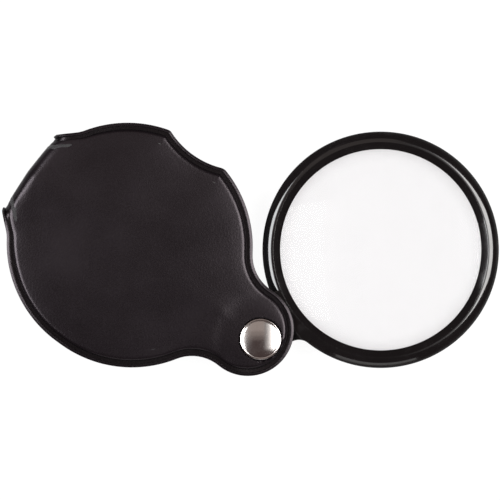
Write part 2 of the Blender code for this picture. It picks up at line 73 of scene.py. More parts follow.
# %% Camera straight above
CAMERA_DISTANCE = 1.60
SEEN_WIDTH = 143.7 * MM  # how much fits across the picture at the height of AIM
SENSOR = 36.0  # the sensor's width, in millimetres as the camera wants it
AIM = Vector((0.05 * MM, -0.22 * MM, 8.0 * MM))

camera_data = bpy.data.cameras.new("camera")
camera_data.sensor_width = SENSOR
camera_data.lens = SENSOR * CAMERA_DISTANCE / SEEN_WIDTH
camera_data.clip_start = 0.01
camera = bpy.data.objects.new("camera", camera_data)
camera.location = AIM + Vector((0.0, 0.0, CAMERA_DISTANCE))
bpy.context.scene.collection.objects.link(camera)
bpy.context.scene.camera = camera
print("camera lens", round(camera_data.lens, 1), "mm")

# %% [markdown]
# ## Light
# Black gloss and polished nickel show hardly any colour of their own. What the eye reads is the
# reflection of the lamps, so the lamps are laid out like a studio's: one large softbox each side,
# flat above the table, a dim warm card over the far side, and a window upright in front. Between
# them stays a dark gap where the camera is, which keeps the flat tops black. Softboxes fade towards
# their inner edges, so each is a few strips side by side, and the innermost is the dimmest. Area
# lights are used because gloss reflects their true shape, which a point or a sun has not.

# %% Softboxes
LAMP_HEIGHT = 1.20


def softbox(name, across, along, radiance, colour):
    """A flat area light facing down. Its edges are given as slopes at which the object sees them,
    metres aside per metre of height. Radiance is how bright its face is in a mirror."""
    light = bpy.data.lights.new(name, "AREA")
    light.shape = "RECTANGLE"
    light.size = (across[1] - across[0]) * LAMP_HEIGHT
    light.size_y = (along[1] - along[0]) * LAMP_HEIGHT
    light.energy = radiance * math.pi * light.size * light.size_y
    light.color = colour
    lamp = bpy.data.objects.new(name, light)
    lamp.location = (sum(across) / 2 * LAMP_HEIGHT, sum(along) / 2 * LAMP_HEIGHT, LAMP_HEIGHT)
    bpy.context.scene.collection.objects.link(lamp)
    return lamp


# Strips are the slopes of their two edges, and their share of the softbox's full radiance.
COOL, NEUTRAL, WARM = (0.98, 0.985, 1.0), (1.0, 0.985, 0.97), (1.0, 0.87, 0.80)
RIGHT_RADIANCE, LEFT_RADIANCE, CARD_RADIANCE, WINDOW_RADIANCE = 8.2, 9.4, 0.29, 0.8
RIGHT_STRIPS = (
    (0.11, 0.16, 0.02), (0.16, 0.21, 0.04), (0.21, 0.27, 0.08),
    (0.27, 0.33, 0.15), (0.33, 0.40, 0.40), (0.40, 1.40, 1.0),
)
LEFT_STRIPS = ((0.44, 0.52, 0.08), (0.52, 0.59, 0.40), (0.59, 1.48, 1.0))
CARD_STRIPS = ((-0.06, 0.05, 0.3), (0.05, 0.18, 0.65), (0.18, 1.0, 1.0))
WINDOW_PLACE = (0.0, -1.6, 0.38)

for near, far, share in RIGHT_STRIPS:
    softbox(f"right_{far}", (near, far), (-0.32, 0.50), RIGHT_RADIANCE * share, NEUTRAL)
for near, far, share in LEFT_STRIPS:
    softbox(f"left_{far}", (-far, -near), (-0.42, 0.50), LEFT_RADIANCE * share, COOL)
for near, far, share in CARD_STRIPS:
    softbox(f"card_{far}", (-0.55, 0.20), (near, far), CARD_RADIANCE * share, WARM)
window = softbox("window", (-0.5, 0.5), (-0.25, 0.25), WINDOW_RADIANCE, NEUTRAL)
window.location = WINDOW_PLACE
window.rotation_euler.x = math.radians(90.0)  # upright, and facing the object

# %% [markdown]
# ## Surroundings
# What no lamp covers is a dim room, a little warm. It shows in the gloss between the lamps, so it
# sets how black the black parts look. The plain view transform keeps the table's white white.

# %% Dim surroundings and a plain view transform
SURROUNDINGS = (0.062, 0.042, 0.040)

world = bpy.data.worlds.new("dim_studio")
world.use_nodes = True
background = world.node_tree.nodes["Background"]
background.inputs["Color"].default_value = (*SURROUNDINGS, 1.0)
background.inputs["Strength"].default_value = 1.0
bpy.context.scene.world = world
bpy.context.scene.view_settings.view_transform = "Standard"
bpy.context.scene.view_settings.look = "None"
print("surroundings", SURROUNDINGS, "in the", world.name)

# %% [markdown]
# ## Small helpers for shader nodes
# A finish is a handful of nodes, so a few short functions keep the recipes readable: they add a
# node with its settings and inputs, do sums, and open a new node group with named sockets. Effects
# that finishes may share are made once as groups: grain, weave, speckle, scratches and worn edges.
# Each group gives out only values between 0 and 1, and the material decides what they do.

# %% Node helpers
def node(tree, kind, inputs=None, **settings):
    """Adds a node. An input takes a number, a colour, or another node's output socket."""
    made = tree.nodes.new(kind)
    for name, value in settings.items():
        setattr(made, name, value)
    for key, value in (inputs or {}).items():
        if isinstance(value, bpy.types.NodeSocket):
            tree.links.new(value, made.inputs[key])
        else:
            made.inputs[key].default_value = value
    return made


def maths(tree, operation, first, second=0.0, third=0.0):
    """The result of one maths node."""
    inputs = {0: first, 1: second, 2: third}
    return node(tree, "ShaderNodeMath", inputs, operation=operation).outputs[0]


def spread(tree, value, from_low, from_high, to_low=0.0, to_high=1.0):
    """A value moved from one range to another, and held inside it."""
    inputs = {"Value": value, "From Min": from_low, "From Max": from_high}
    inputs.update({"To Min": to_low, "To Max": to_high})
    return node(tree, "ShaderNodeMapRange", inputs).outputs[0]


def new_group(name, numbers, results):
    """An empty node group with named number inputs and named number outputs."""
    tree = bpy.data.node_groups.new(name, "ShaderNodeTree")
    for title, value in numbers.items():
        socket = tree.interface.new_socket(title, in_out="INPUT", socket_type="NodeSocketFloat")
        socket.default_value = value
    for title in results:
        tree.interface.new_socket(title, in_out="OUTPUT", socket_type="NodeSocketFloat")
    print("effect", name, "gives", ", ".join(results))
    entry, leave = tree.nodes.new("NodeGroupInput"), tree.nodes.new("NodeGroupOutput")
    place = tree.nodes.new("ShaderNodeTexCoord").outputs["Object"]
    return tree, entry.outputs, leave.inputs, place


def connect(tree, target, value):
    """A link written in the order it is read: the target first, then what feeds it."""
    tree.links.new(value, target)


# %% Group: grain of a coated fabric
def make_grain_group():
    """Soft pebbles of a given size, and slow drifts of tone over centimetres."""
    tree, given, out, place = new_group(
        "fabric_grain", {"Pebble Size": 0.0005, "Drift Size": 0.018}, ["Pebbles", "Drift", "Fine"]
    )
    per_pebble = maths(tree, "DIVIDE", 1.0, given["Pebble Size"])
    cells = node(
        tree, "ShaderNodeTexVoronoi", {"Vector": place, "Scale": per_pebble, "Smoothness": 0.7},
        feature="SMOOTH_F1",
    )
    connect(tree, out["Pebbles"], spread(tree, cells.outputs["Distance"], 0.0, 0.75, 1.0, 0.0))
    per_drift = maths(tree, "DIVIDE", 1.0, given["Drift Size"])
    drift = node(tree, "ShaderNodeTexNoise", {"Vector": place, "Scale": per_drift, "Detail": 3.0})
    connect(tree, out["Drift"], spread(tree, drift.outputs["Fac"], 0.3, 0.7))
    fine = node(
        tree, "ShaderNodeTexNoise",
        {"Vector": place, "Scale": maths(tree, "MULTIPLY", per_pebble, 2.6), "Detail": 2.0},
    )
    connect(tree, out["Fine"], fine.outputs["Fac"])
    return tree


grain_group = make_grain_group()


# %% Group: plain weave
def make_weave_group():
    """Threads over and under each other, of a given width."""
    tree, given, out, place = new_group("plain_weave", {"Thread": 0.0003}, ["Height", "Shade And Slub"])
    axes = node(tree, "ShaderNodeSeparateXYZ", {0: place}).outputs
    along = [maths(tree, "DIVIDE", axes[i], given["Thread"]) for i in (0, 1)]
    rounds = []
    for value in along:
        centred = maths(tree, "MULTIPLY_ADD", maths(tree, "FRACT", value), 2.0, -1.0)
        square = maths(tree, "MULTIPLY", centred, centred)
        rounds.append(maths(tree, "SQRT", maths(tree, "SUBTRACT", 1.0, square)))
    steps = maths(tree, "ADD", *(maths(tree, "FLOOR", value) for value in along))
    over = maths(tree, "PINGPONG", steps, 1.0)
    inputs = {0: over, 2: rounds[0], 3: rounds[1]}
    height = node(tree, "ShaderNodeMix", inputs, data_type="FLOAT").outputs[0]
    connect(tree, out["Height"], height)
    # The second output is painted shade: darker where the threads dip under each other, times slub
    # noise that is the yarn's own variation.
    slub = node(tree, "ShaderNodeTexNoise", {"Vector": place, "Scale": 900.0, "Detail": 2.0})
    connect(tree, out["Shade And Slub"], maths(tree, "MULTIPLY", height, slub.outputs["Fac"]))
    return tree


weave_group = make_weave_group()


# %% Group: specks of dust and faint smudges
def make_speckle_group():
    """Rare small specks, and cloudy smudges such as fingers leave."""
    tree, given, out, place = new_group(
        "specks_and_smudges", {"Speck Size": 0.0009, "Share": 0.06}, ["Specks", "Smudges"]
    )
    per_speck = maths(tree, "DIVIDE", 1.0, given["Speck Size"])
    dots = node(tree, "ShaderNodeTexVoronoi", {"Vector": place, "Scale": per_speck})
    chance = node(tree, "ShaderNodeSeparateColor", {0: dots.outputs["Color"]}).outputs[0]
    kept = maths(tree, "LESS_THAN", chance, given["Share"])
    near = spread(tree, dots.outputs["Distance"], 0.05, 0.16, 1.0, 0.0)
    connect(tree, out["Specks"], maths(tree, "MULTIPLY", kept, near))
    cloud = node(
        tree, "ShaderNodeTexNoise",
        {"Vector": place, "Scale": 160.0, "Detail": 5.0, "Roughness": 0.6, "Distortion": 0.6},
    )
    connect(tree, out["Smudges"], spread(tree, cloud.outputs["Fac"], 0.45, 0.72))
    return tree


speckle_group = make_speckle_group()


# %% Group: fine scratches
def make_scratch_group():
    """Hairline scratches in two directions, from stretched noise."""
    tree, given, out, place = new_group("hairlines", {"Density": 1.0}, ["Lines"])
    found = []
    for turn, stretch in ((0.5, 34.0), (2.1, 27.0)):
        mapped = node(tree, "ShaderNodeMapping", {"Vector": place, "Rotation": (0.0, 0.3, turn)})
        scaled = node(
            tree, "ShaderNodeMapping", {"Vector": mapped.outputs[0], "Scale": (stretch, 1.0, 6.0)}
        )
        lines = node(
            tree, "ShaderNodeTexNoise",
            {"Vector": scaled.outputs[0], "Scale": 170.0, "Detail": 2.0, "Roughness": 0.7},
        )
        found.append(spread(tree, lines.outputs["Fac"], 0.66, 0.74))
    both = maths(tree, "MAXIMUM", *found)
    connect(tree, out["Lines"], maths(tree, "MULTIPLY", both, given["Density"]))
    return tree


scratch_group = make_scratch_group()


# %% Group: worn edges
def make_wear_group():
    """Where the surface is sharply convex, broken up by noise."""
    tree, given, out, place = new_group("worn_edges", {"From": 0.52, "To": 0.60}, ["Wear"])
    sharp = tree.nodes.new("ShaderNodeNewGeometry").outputs["Pointiness"]
    edge = spread(tree, sharp, given["From"], given["To"])
    broken = node(tree, "ShaderNodeTexNoise", {"Vector": place, "Scale": 420.0, "Detail": 4.0})
    patchy = spread(tree, broken.outputs["Fac"], 0.35, 0.65)
    connect(tree, out["Wear"], maths(tree, "MULTIPLY", edge, patchy))
    return tree


wear_group = make_wear_group()

# %% [markdown]
# ## Finishes
# Every material starts from the Principled shader. Numbers that are the same all over are set on
# the shader itself. What changes over the surface comes from the groups above: the coated fabric
# gets pebbles and slow tone drifts, the gloss plastic and the nickel get hairlines and smudges.

# %% A helper that opens a material
def open_material(name, **constants):
    """A new material with a Principled shader, whose constant sockets are set by name."""
    print("finish", name)
    made = bpy.data.materials.new(name)
    made.use_nodes = True
    tree = made.node_tree
    shader = tree.nodes["Principled BSDF"]
    for title, value in constants.items():
        shader.inputs[title.replace("_", " ")].default_value = value
    return made, tree, shader


def placed(tree, group, **values):
    """A shared group placed in a material, with this material's own values."""
    made = tree.nodes.new("ShaderNodeGroup")
    made.node_tree = group
    for title, value in values.items():
        made.inputs[title.replace("_", " ")].default_value = value
    return made.outputs


def blend_colour(tree, factor, first, second):
    """A colour between two others."""
    made = tree.nodes.new("ShaderNodeMix")
    made.data_type = "RGBA"
    tree.links.new(factor, made.inputs[0])
    for socket, value in ((made.inputs[6], first), (made.inputs[7], second)):
        if isinstance(value, bpy.types.NodeSocket):
            tree.links.new(value, socket)
        else:
            socket.default_value = (*value, 1.0)
    return made.outputs[2]


def tinted(tree, tone, effect, share, colour):
    """A tone moved towards a colour where an effect is, by a share of it."""
    return blend_colour(tree, maths(tree, "MULTIPLY", effect, share), tone, colour)


def feed(tree, shader, **sources):
    """Connects outputs to the shader's sockets, which are given by name."""
    for title, source in sources.items():
        connect(tree, shader.inputs[title.replace("_", " ")], source)


def raised(tree, shader, height, depth, strength=1.0):
    """Bump from a height between 0 and 1, where 1 stands depth metres proud."""
    inputs = {"Height": height, "Distance": depth, "Strength": strength}
    bump = node(tree, "ShaderNodeBump", inputs)
    feed(tree, shader, Normal=bump.outputs["Normal"])


# %% [markdown]
# ## Soft goods
# Coating, lining, greyboard and foam. The seam's groove is smoother than the rest of the coating,
# because welding melts it there, and its colour is darkened as painted shade for the narrow groove.
# The sheet carries its distance from the edge as an attribute, in millimetres, and the groove lies
# between two of its values.

# %% Coated fabric, for the outside of the case
GROOVE_FROM, GROOVE_TO, GROOVE_BLUR = 0.85, 1.95, 0.1
COAT_DARK, COAT_LIGHT = (0.0038, 0.0028, 0.0036), (0.0058, 0.0043, 0.0055)
# The groove's colour is painted shade: the coating made darker where shade falls in the groove.
COAT_WORN, COAT_GROOVE_SHADE = (0.030, 0.026, 0.028), (0.0012, 0.0010, 0.0012)
DUST = (0.14, 0.13, 0.12)

coated_fabric, tree, shader = open_material(
    "coated_fabric", Sheen_Weight=0.02, Sheen_Roughness=0.4, Specular_IOR_Level=0.42,
    Specular_Tint=(1.0, 0.89, 0.96, 1.0),
)
grain = placed(tree, grain_group, Pebble_Size=0.00045, Drift_Size=0.020)
wear = placed(tree, wear_group, From=0.53, To=0.62)
dirt = placed(tree, speckle_group, Speck_Size=0.0011, Share=0.03)
inset = node(tree, "ShaderNodeAttribute", attribute_name="edge_inset").outputs["Fac"]
groove = maths(
    tree, "MULTIPLY",
    spread(tree, inset, GROOVE_FROM - GROOVE_BLUR, GROOVE_FROM + GROOVE_BLUR),
    spread(tree, inset, GROOVE_TO - GROOVE_BLUR, GROOVE_TO + GROOVE_BLUR, 1.0, 0.0),
)
tone = blend_colour(tree, grain["Drift"], COAT_DARK, COAT_LIGHT)
tone = tinted(tree, tone, wear["Wear"], 0.5, COAT_WORN)
tone = tinted(tree, tone, dirt["Specks"], 0.10, DUST)
# painted shade: the groove is darkened between bead and panel
tone = blend_colour(tree, groove, tone, COAT_GROOVE_SHADE)
rough = spread(tree, grain["Drift"], 0.0, 1.0, 0.27, 0.33)
rough = maths(tree, "MULTIPLY_ADD", grain["Pebbles"], -0.05, rough)
rough = maths(tree, "MULTIPLY_ADD", groove, -0.05, rough)
feed(tree, shader, Base_Color=tone, Roughness=rough)
relief = maths(tree, "MULTIPLY_ADD", grain["Fine"], 0.35, grain["Pebbles"])
raised(tree, shader, relief, 0.000018, 0.7)

# %% Lining cloth, for the inside of the case
lining_cloth, tree, shader = open_material("lining_cloth", Sheen_Weight=0.25, Sheen_Roughness=0.5)
threads = placed(tree, weave_group, Thread=0.00030)
grain = placed(tree, grain_group, Pebble_Size=0.0015, Drift_Size=0.012)
# painted shade: the lining is darker between the threads, and the slub varies it
tone = blend_colour(tree, threads["Shade And Slub"], (0.006, 0.006, 0.007), (0.026, 0.024, 0.027))
tone = tinted(tree, tone, grain["Drift"], 0.3, (0.012, 0.011, 0.012))
rough = spread(tree, threads["Height"], 0.0, 1.0, 0.75, 0.55)
feed(tree, shader, Base_Color=tone, Roughness=rough)
raised(tree, shader, threads["Height"], 0.00006, 0.8)

# %% Greyboard, for the stiffeners
greyboard, tree, shader = open_material("greyboard")
fibres = placed(tree, grain_group, Pebble_Size=0.0008, Drift_Size=0.009)
flecks = placed(tree, speckle_group, Speck_Size=0.0014, Share=0.4)
tone = blend_colour(tree, fibres["Fine"], (0.17, 0.155, 0.14), (0.30, 0.28, 0.25))
tone = tinted(tree, tone, flecks["Specks"], 0.7, (0.09, 0.08, 0.075))
rough = spread(tree, fibres["Drift"], 0.0, 1.0, 0.85, 0.97)
feed(tree, shader, Base_Color=tone, Roughness=rough)
raised(tree, shader, fibres["Fine"], 0.00004)

# %% Foam, for the padding
foam, tree, shader = open_material("open_foam")
bubbles = placed(tree, grain_group, Pebble_Size=0.0006, Drift_Size=0.010)
# painted shade: the foam is darker between its raised bubbles, where the bump is low
tone = blend_colour(tree, bubbles["Pebbles"], (0.020, 0.020, 0.021), (0.075, 0.074, 0.073))
rough = spread(tree, bubbles["Drift"], 0.0, 1.0, 0.90, 1.0)
feed(tree, shader, Base_Color=tone, Roughness=rough)
raised(tree, shader, bubbles["Pebbles"], 0.00012)

# %% [markdown]
# ## Hard goods
# The caps are plated bright, because they are seen. The halves inside the rivet are only plated
# against rust, so they are duller and yellower. The frame's plastic has a thin clear gloss over a
# black body, which a coat on the shader gives, and handling leaves hairlines and smudges in it.

# %% Bright nickel, for the rivet's caps
bright_nickel, tree, shader = open_material("bright_nickel", Metallic=1.0)
lines = placed(tree, scratch_group, Density=0.6)
smears = placed(tree, speckle_group, Speck_Size=0.0006, Share=0.08)
tone = blend_colour(tree, smears["Smudges"], (0.74, 0.715, 0.695), (0.66, 0.625, 0.60))
tone = tinted(tree, tone, smears["Specks"], 0.5, (0.30, 0.26, 0.22))
rough = spread(tree, smears["Smudges"], 0.0, 1.0, 0.13, 0.19)
rough = maths(tree, "MULTIPLY_ADD", lines["Lines"], 0.14, rough)
feed(tree, shader, Base_Color=tone, Roughness=rough)
raised(tree, shader, lines["Lines"], -0.000002, 0.5)

# %% Dull plating, for the rivet's hidden halves
dull_plating, tree, shader = open_material("dull_plating", Metallic=1.0)
lines = placed(tree, scratch_group, Density=1.0)
smears = placed(tree, speckle_group, Speck_Size=0.0008, Share=0.15)
tone = blend_colour(tree, smears["Smudges"], (0.64, 0.60, 0.54), (0.52, 0.47, 0.40))
rough = spread(tree, smears["Smudges"], 0.0, 1.0, 0.28, 0.42)
rough = maths(tree, "MULTIPLY_ADD", lines["Lines"], 0.2, rough)
feed(tree, shader, Base_Color=tone, Roughness=rough)
raised(tree, shader, lines["Lines"], -0.000004, 0.6)

# %% Nylon, for the washers and the sleeve
nylon, tree, shader = open_material("natural_nylon", Subsurface_Weight=0.15, Subsurface_Scale=0.0006)
wear = placed(tree, wear_group, From=0.52, To=0.60)
clouds = placed(tree, speckle_group, Speck_Size=0.0007, Share=0.05)
tone = blend_colour(tree, clouds["Smudges"], (0.58, 0.56, 0.50), (0.50, 0.47, 0.41))
tone = tinted(tree, tone, wear["Wear"], 0.5, (0.30, 0.28, 0.25))
rough = spread(tree, clouds["Smudges"], 0.0, 1.0, 0.38, 0.50)
feed(tree, shader, Base_Color=tone, Roughness=rough)

# %% Black gloss plastic, for the lens frame and its retaining ring
black_plastic, tree, shader = open_material("black_plastic", Coat_Roughness=0.04, Coat_IOR=1.5)
lines = placed(tree, scratch_group, Density=0.7)
marks = placed(tree, speckle_group, Speck_Size=0.0010, Share=0.07)
wear = placed(tree, wear_group, From=0.53, To=0.60)
tone = blend_colour(tree, marks["Smudges"], (0.0045, 0.0042, 0.0045), (0.0062, 0.0056, 0.0060))
tone = tinted(tree, tone, marks["Specks"], 0.22, (0.20, 0.19, 0.18))
tone = tinted(tree, tone, wear["Wear"], 0.25, (0.030, 0.028, 0.029))
rough = spread(tree, marks["Smudges"], 0.0, 1.0, 0.10, 0.17)
rough = maths(tree, "MULTIPLY_ADD", lines["Lines"], 0.12, rough)
coat = spread(tree, marks["Smudges"], 0.0, 1.0, 0.75, 0.55)
feed(tree, shader, Base_Color=tone, Roughness=rough, Coat_Weight=coat)
raised(tree, shader, lines["Lines"], -0.0000015, 0.4)

# %% [markdown]
# ## Glass
# The lens's faces have an antireflection coating, hence the dark specular tint. The glass is painted
# a little darker towards its rim: painted shade for the frame's shadow. How far out a place lies is
# found from the lens's own box, which runs from 0 to 1. The rim itself is ground and scatters light.

# %% Crown glass, polished and ground
CROWN_INDEX = 1.52
# Where the painted shade at the lens's rim starts, where it is full, and how fast it deepens
DARKENS_FROM, DARKENS_TO, DARKENS_POWER = 0.76, 0.985, 3.5  # shares of the lens's radius

polished_glass, tree, shader = open_material(
    "polished_glass", Transmission_Weight=1.0, IOR=CROWN_INDEX, Specular_Tint=(0.12, 0.12, 0.12, 1.0)
)
marks = placed(tree, speckle_group, Speck_Size=0.0013, Share=0.02)
in_box = tree.nodes.new("ShaderNodeTexCoord").outputs["Generated"]
outwards = in_box
for operation, value in (("SUBTRACT", (0.5, 0.5, 0.5)), ("MULTIPLY", (2.0, 2.0, 0.0))):
    step = node(tree, "ShaderNodeVectorMath", {0: outwards, 1: value}, operation=operation)
    outwards = step.outputs[0]
reach = node(tree, "ShaderNodeVectorMath", {0: outwards}, operation="LENGTH").outputs["Value"]
# painted shade: the glass is darkened towards its rim, for the frame's shadow
rim_painted_shade = maths(tree, "POWER", spread(tree, reach, DARKENS_FROM, DARKENS_TO), DARKENS_POWER)
clear = blend_colour(tree, marks["Smudges"], (0.930, 0.918, 0.924), (0.918, 0.906, 0.912))
clear = blend_colour(tree, rim_painted_shade, clear, (0.70, 0.685, 0.69))
rough = spread(tree, marks["Smudges"], 0.0, 1.0, 0.0, 0.012)
feed(tree, shader, Base_Color=clear, Roughness=rough)

ground_glass, tree, shader = open_material(
    "ground_glass", Transmission_Weight=1.0, IOR=CROWN_INDEX, Base_Color=(0.90, 0.93, 0.92, 1.0)
)
frost = placed(tree, grain_group, Pebble_Size=0.0002, Drift_Size=0.004)
feed(tree, shader, Roughness=spread(tree, frost["Drift"], 0.0, 1.0, 0.35, 0.50))
raised(tree, shader, frost["Fine"], 0.00001)

# %% [markdown]
# ## The table
# A light table: a plain white plane that glows itself, so the shadows stay faint and the lens shows
# clean white through it. Most of its light is emission, and a little is reflected. Seen in gloss or
# nickel the table is dimmer, as a sheet lit from below is at a slant. Through the lens it keeps its
# full glow: a ray that glass passes on counts as glossy, but as a transmission ray too.

# %% The table's surface
TABLE_HALF, TABLE_GLOW = 3.0, 0.95  # metres, and radiance
MIRRORED_LOSS = 0.68  # the share of its glow that a reflection of it lacks

table_white, tree, shader = open_material(
    "table_white", Roughness=0.9, Emission_Strength=TABLE_GLOW, Emission_Color=(1.0, 1.0, 1.0, 1.0),
    Specular_IOR_Level=0.0,
)
cloud = node(tree, "ShaderNodeTexNoise", {"Scale": 3.0})
tone = blend_colour(tree, cloud.outputs["Fac"], (0.085, 0.085, 0.085), (0.095, 0.095, 0.095))
path = tree.nodes.new("ShaderNodeLightPath")
mirrored = maths(tree, "SUBTRACT", path.outputs["Is Glossy Ray"], path.outputs["Is Transmission Ray"])
mirrored = maths(tree, "MAXIMUM", mirrored, 0.0)
glow = maths(tree, "MULTIPLY_ADD", mirrored, -MIRRORED_LOSS * TABLE_GLOW, TABLE_GLOW)
feed(tree, shader, Base_Color=tone, Emission_Strength=glow)
table_white.cycles.emission_sampling = "NONE"

# %% The table
drawn = bmesh.new()
bmesh.ops.create_grid(drawn, x_segments=2, y_segments=2, size=TABLE_HALF)
table_mesh = bpy.data.meshes.new("light_table")
drawn.to_mesh(table_mesh)
drawn.free()
table_mesh.materials.append(table_white)
light_table = bpy.data.objects.new("light_table", table_mesh)
light_table.location.z = -0.1 * MM  # just under the object, so no two faces lie in one plane
bpy.context.scene.collection.objects.link(light_table)
print("light table", 2 * TABLE_HALF, "m wide")

# %% [markdown]
# ## Drawing a flap of the case
# The case is one blank of coated fabric, folded over so a flap lies each side of the lens. Both
# flaps have the same outline: a round lobe that holds the rivet, a hollow waist, the wide round
# body with a thumb notch in one side, and straight flared edges that run to the fold. All of these
# are circles and lines that touch, so the outline is drawn from circles, moved inwards by any
# inset. Each inset outline has the same number of points, so neighbours join up in neat rows.
# In a flap's own plan, x runs from the rivet to the fold and y runs across.

# %% Driving dimensions of the flap
CASE_ANGLE = math.radians(144.3)
LOBE_CENTRE, LOBE_RADIUS = (4.55 * MM, 0.0), 13.25 * MM
BODY_NEAR, BODY_FAR, BODY_RADIUS = (45.5 * MM, 0.0), (47.0 * MM, 0.0), 34.7 * MM
WAIST_RADIUS = 12.0 * MM
NOTCH_CENTRE, NOTCH_RADIUS = (46.7 * MM, -55.65 * MM), 24.0 * MM
NOTCH_CORNERS = (3.0 * MM, 1.8 * MM)
SHOULDER_RADIUS = 8.0 * MM
FLARE_ANGLE = math.radians(140.0)
FOLD_REACH, FOLD_HALF_WIDTH = 82.65 * MM, 13.1 * MM
FOLD_RADIUS = HALF_THICKNESS
BEND_SQUARENESS = 0.57  # 1 would be a round bend
RIM_REACH = 5.55 * MM  # how far past the bend's start the rim goes, as seen from above
BEND_START = FOLD_REACH - FOLD_RADIUS
BLANK_END = BEND_START + FOLD_RADIUS * math.pi / 2  # the fold's middle, measured along the sheet


# %% Circles that touch
def arc(centre, radius, start, end, steps, hollow=False):
    """Points on a circle from the side of one point to the side of another."""
    first = math.atan2(start[1] - centre[1], start[0] - centre[0])
    last = math.atan2(end[1] - centre[1], end[0] - centre[0])
    if hollow and last > first:
        last -= math.tau
    if not hollow and last < first:
        last += math.tau
    turns = [first + (last - first) * i / steps for i in range(steps + 1)]
    return [(centre[0] + radius * math.cos(t), centre[1] + radius * math.sin(t)) for t in turns]


def crossing(centre_a, reach_a, centre_b, reach_b, side):
    """Where two circles cross, on one side of the line between their centres."""
    gap_x, gap_y = centre_b[0] - centre_a[0], centre_b[1] - centre_a[1]
    gap = math.hypot(gap_x, gap_y)
    along = (gap**2 + reach_a**2 - reach_b**2) / (2 * gap)
    off = side * math.sqrt(reach_a**2 - along**2)
    return (
        centre_a[0] + (along * gap_x - off * gap_y) / gap,
        centre_a[1] + (along * gap_y + off * gap_x) / gap,
    )


def circle(radius, count):
    """Points evenly round a circle about the rivet."""
    turns = [math.tau * i / count for i in range(count)]
    return [(radius * math.cos(t), radius * math.sin(t)) for t in turns]


def flipped_over(points):
    """The same run of points on the other side of the middle line, in the opposite order."""
    return [(x, -y) for x, y in reversed(points)]


# %% [markdown]
# ## Three ways to say how far along the flap a place is
# On the flat part all three are the same. Round the bend, the distance along the sheet goes on
# evenly, the plan position is where a round bend would be seen from above, and the seen position is
# where this squarer bend is seen. The outline is measured as seen, and the mesh is made in plan.

# %% Along the sheet, in plan and as seen
def plan_x(along):
    """Plan position of a place measured along the sheet, round the bend."""
    if along <= BEND_START:
        return along
    return BEND_START + FOLD_RADIUS * math.sin((along - BEND_START) / FOLD_RADIUS)


def along_sheet(x):
    """Distance along the sheet for a plan position, the opposite of plan_x."""
    if x <= BEND_START:
        return x
    return BEND_START + FOLD_RADIUS * math.asin(min((x - BEND_START) / FOLD_RADIUS, 1.0))


def seen_x(along):
    """Where a place measured along the sheet is seen: the bend is squarer, and the rim thinner."""
    if along <= BEND_START:
        return along
    return BEND_START + RIM_REACH * math.sin((along - BEND_START) / FOLD_RADIUS) ** BEND_SQUARENESS


def unseen_x(x):
    """Plan position of a place seen at x from above, the opposite of seen_x."""
    past = max(x - BEND_START, 0.0) / RIM_REACH
    return min(x, BEND_START) + FOLD_RADIUS * past ** (1.0 / BEND_SQUARENESS)


# %% [markdown]
# ## The outline of a flap
# The straight edge is found first. It starts at the fold and runs on until a shoulder arc of a
# known radius touches both it and the round body. The rest are arcs that meet at touching points.

# %% Straight edge beside the fold
EDGE_STEPS, SHOULDER_STEPS, BODY_STEPS, NEAR_STEPS, WAIST_STEPS, LOBE_STEPS = 18, 8, 36, 26, 10, 22
NOTCH_STEPS, CORNER_STEPS = 22, 7
SMALLEST_CORNER = 0.4 * MM


def flared_edge(inset):
    """The edge's points, the centre of the shoulder that follows it, and where the two touch."""
    run = (math.cos(FLARE_ANGLE), math.sin(FLARE_ANGLE))
    out = (run[1], -run[0])
    corner = (FOLD_REACH + SHOULDER_RADIUS * out[0], FOLD_HALF_WIDTH + SHOULDER_RADIUS * out[1])
    gap = (corner[0] - BODY_FAR[0], corner[1] - BODY_FAR[1])
    half = gap[0] * run[0] + gap[1] * run[1]
    reach = BODY_RADIUS + SHOULDER_RADIUS
    slide = -half - math.sqrt(half**2 - gap[0] ** 2 - gap[1] ** 2 + reach**2)
    centre = (corner[0] + slide * run[0], corner[1] + slide * run[1])
    touch = tuple(c - (SHOULDER_RADIUS + inset) * o for c, o in zip(centre, out))
    touch_along = along_sheet(unseen_x(touch[0]))
    places = [BLANK_END + (touch_along - BLANK_END) * i / EDGE_STEPS for i in range(EDGE_STEPS)]
    slope = run[1] / run[0]
    return [(plan_x(a), touch[1] + (seen_x(a) - touch[0]) * slope) for a in places], centre, touch


# %% The outline, moved inwards
def flap_outline(inset):
    """One flap's edge moved inwards, as an open run from one end of the fold to the other."""
    body, lobe = BODY_RADIUS - inset, LOBE_RADIUS - inset
    edge, shoulder, touch = flared_edge(inset)
    top = (BODY_FAR[0], BODY_RADIUS)
    near_top = (BODY_NEAR[0], BODY_RADIUS)
    hollow = crossing(LOBE_CENTRE, LOBE_RADIUS + WAIST_RADIUS, BODY_NEAR, BODY_RADIUS + WAIST_RADIUS, 1)
    nose = (LOBE_CENTRE[0] - LOBE_RADIUS, 0.0)
    rounding = arc(shoulder, SHOULDER_RADIUS + inset, touch, BODY_FAR, SHOULDER_STEPS, True)[:-1]
    to_shoulder = edge + [(unseen_x(x), y) for x, y in rounding]
    far_half = arc(BODY_FAR, body, shoulder, top, BODY_STEPS)
    near_half = arc(BODY_NEAR, body, near_top, hollow, NEAR_STEPS)[:-1]
    to_nose = arc(hollow, WAIST_RADIUS + inset, BODY_NEAR, LOBE_CENTRE, WAIST_STEPS, True)[:-1]
    to_nose += arc(LOBE_CENTRE, lobe, hollow, nose, LOBE_STEPS)
    plain = to_shoulder + far_half + near_half + to_nose
    notched = flipped_over(to_nose)[1:] + notched_side(inset, hollow, shoulder)
    return plain + notched + flipped_over(to_shoulder)


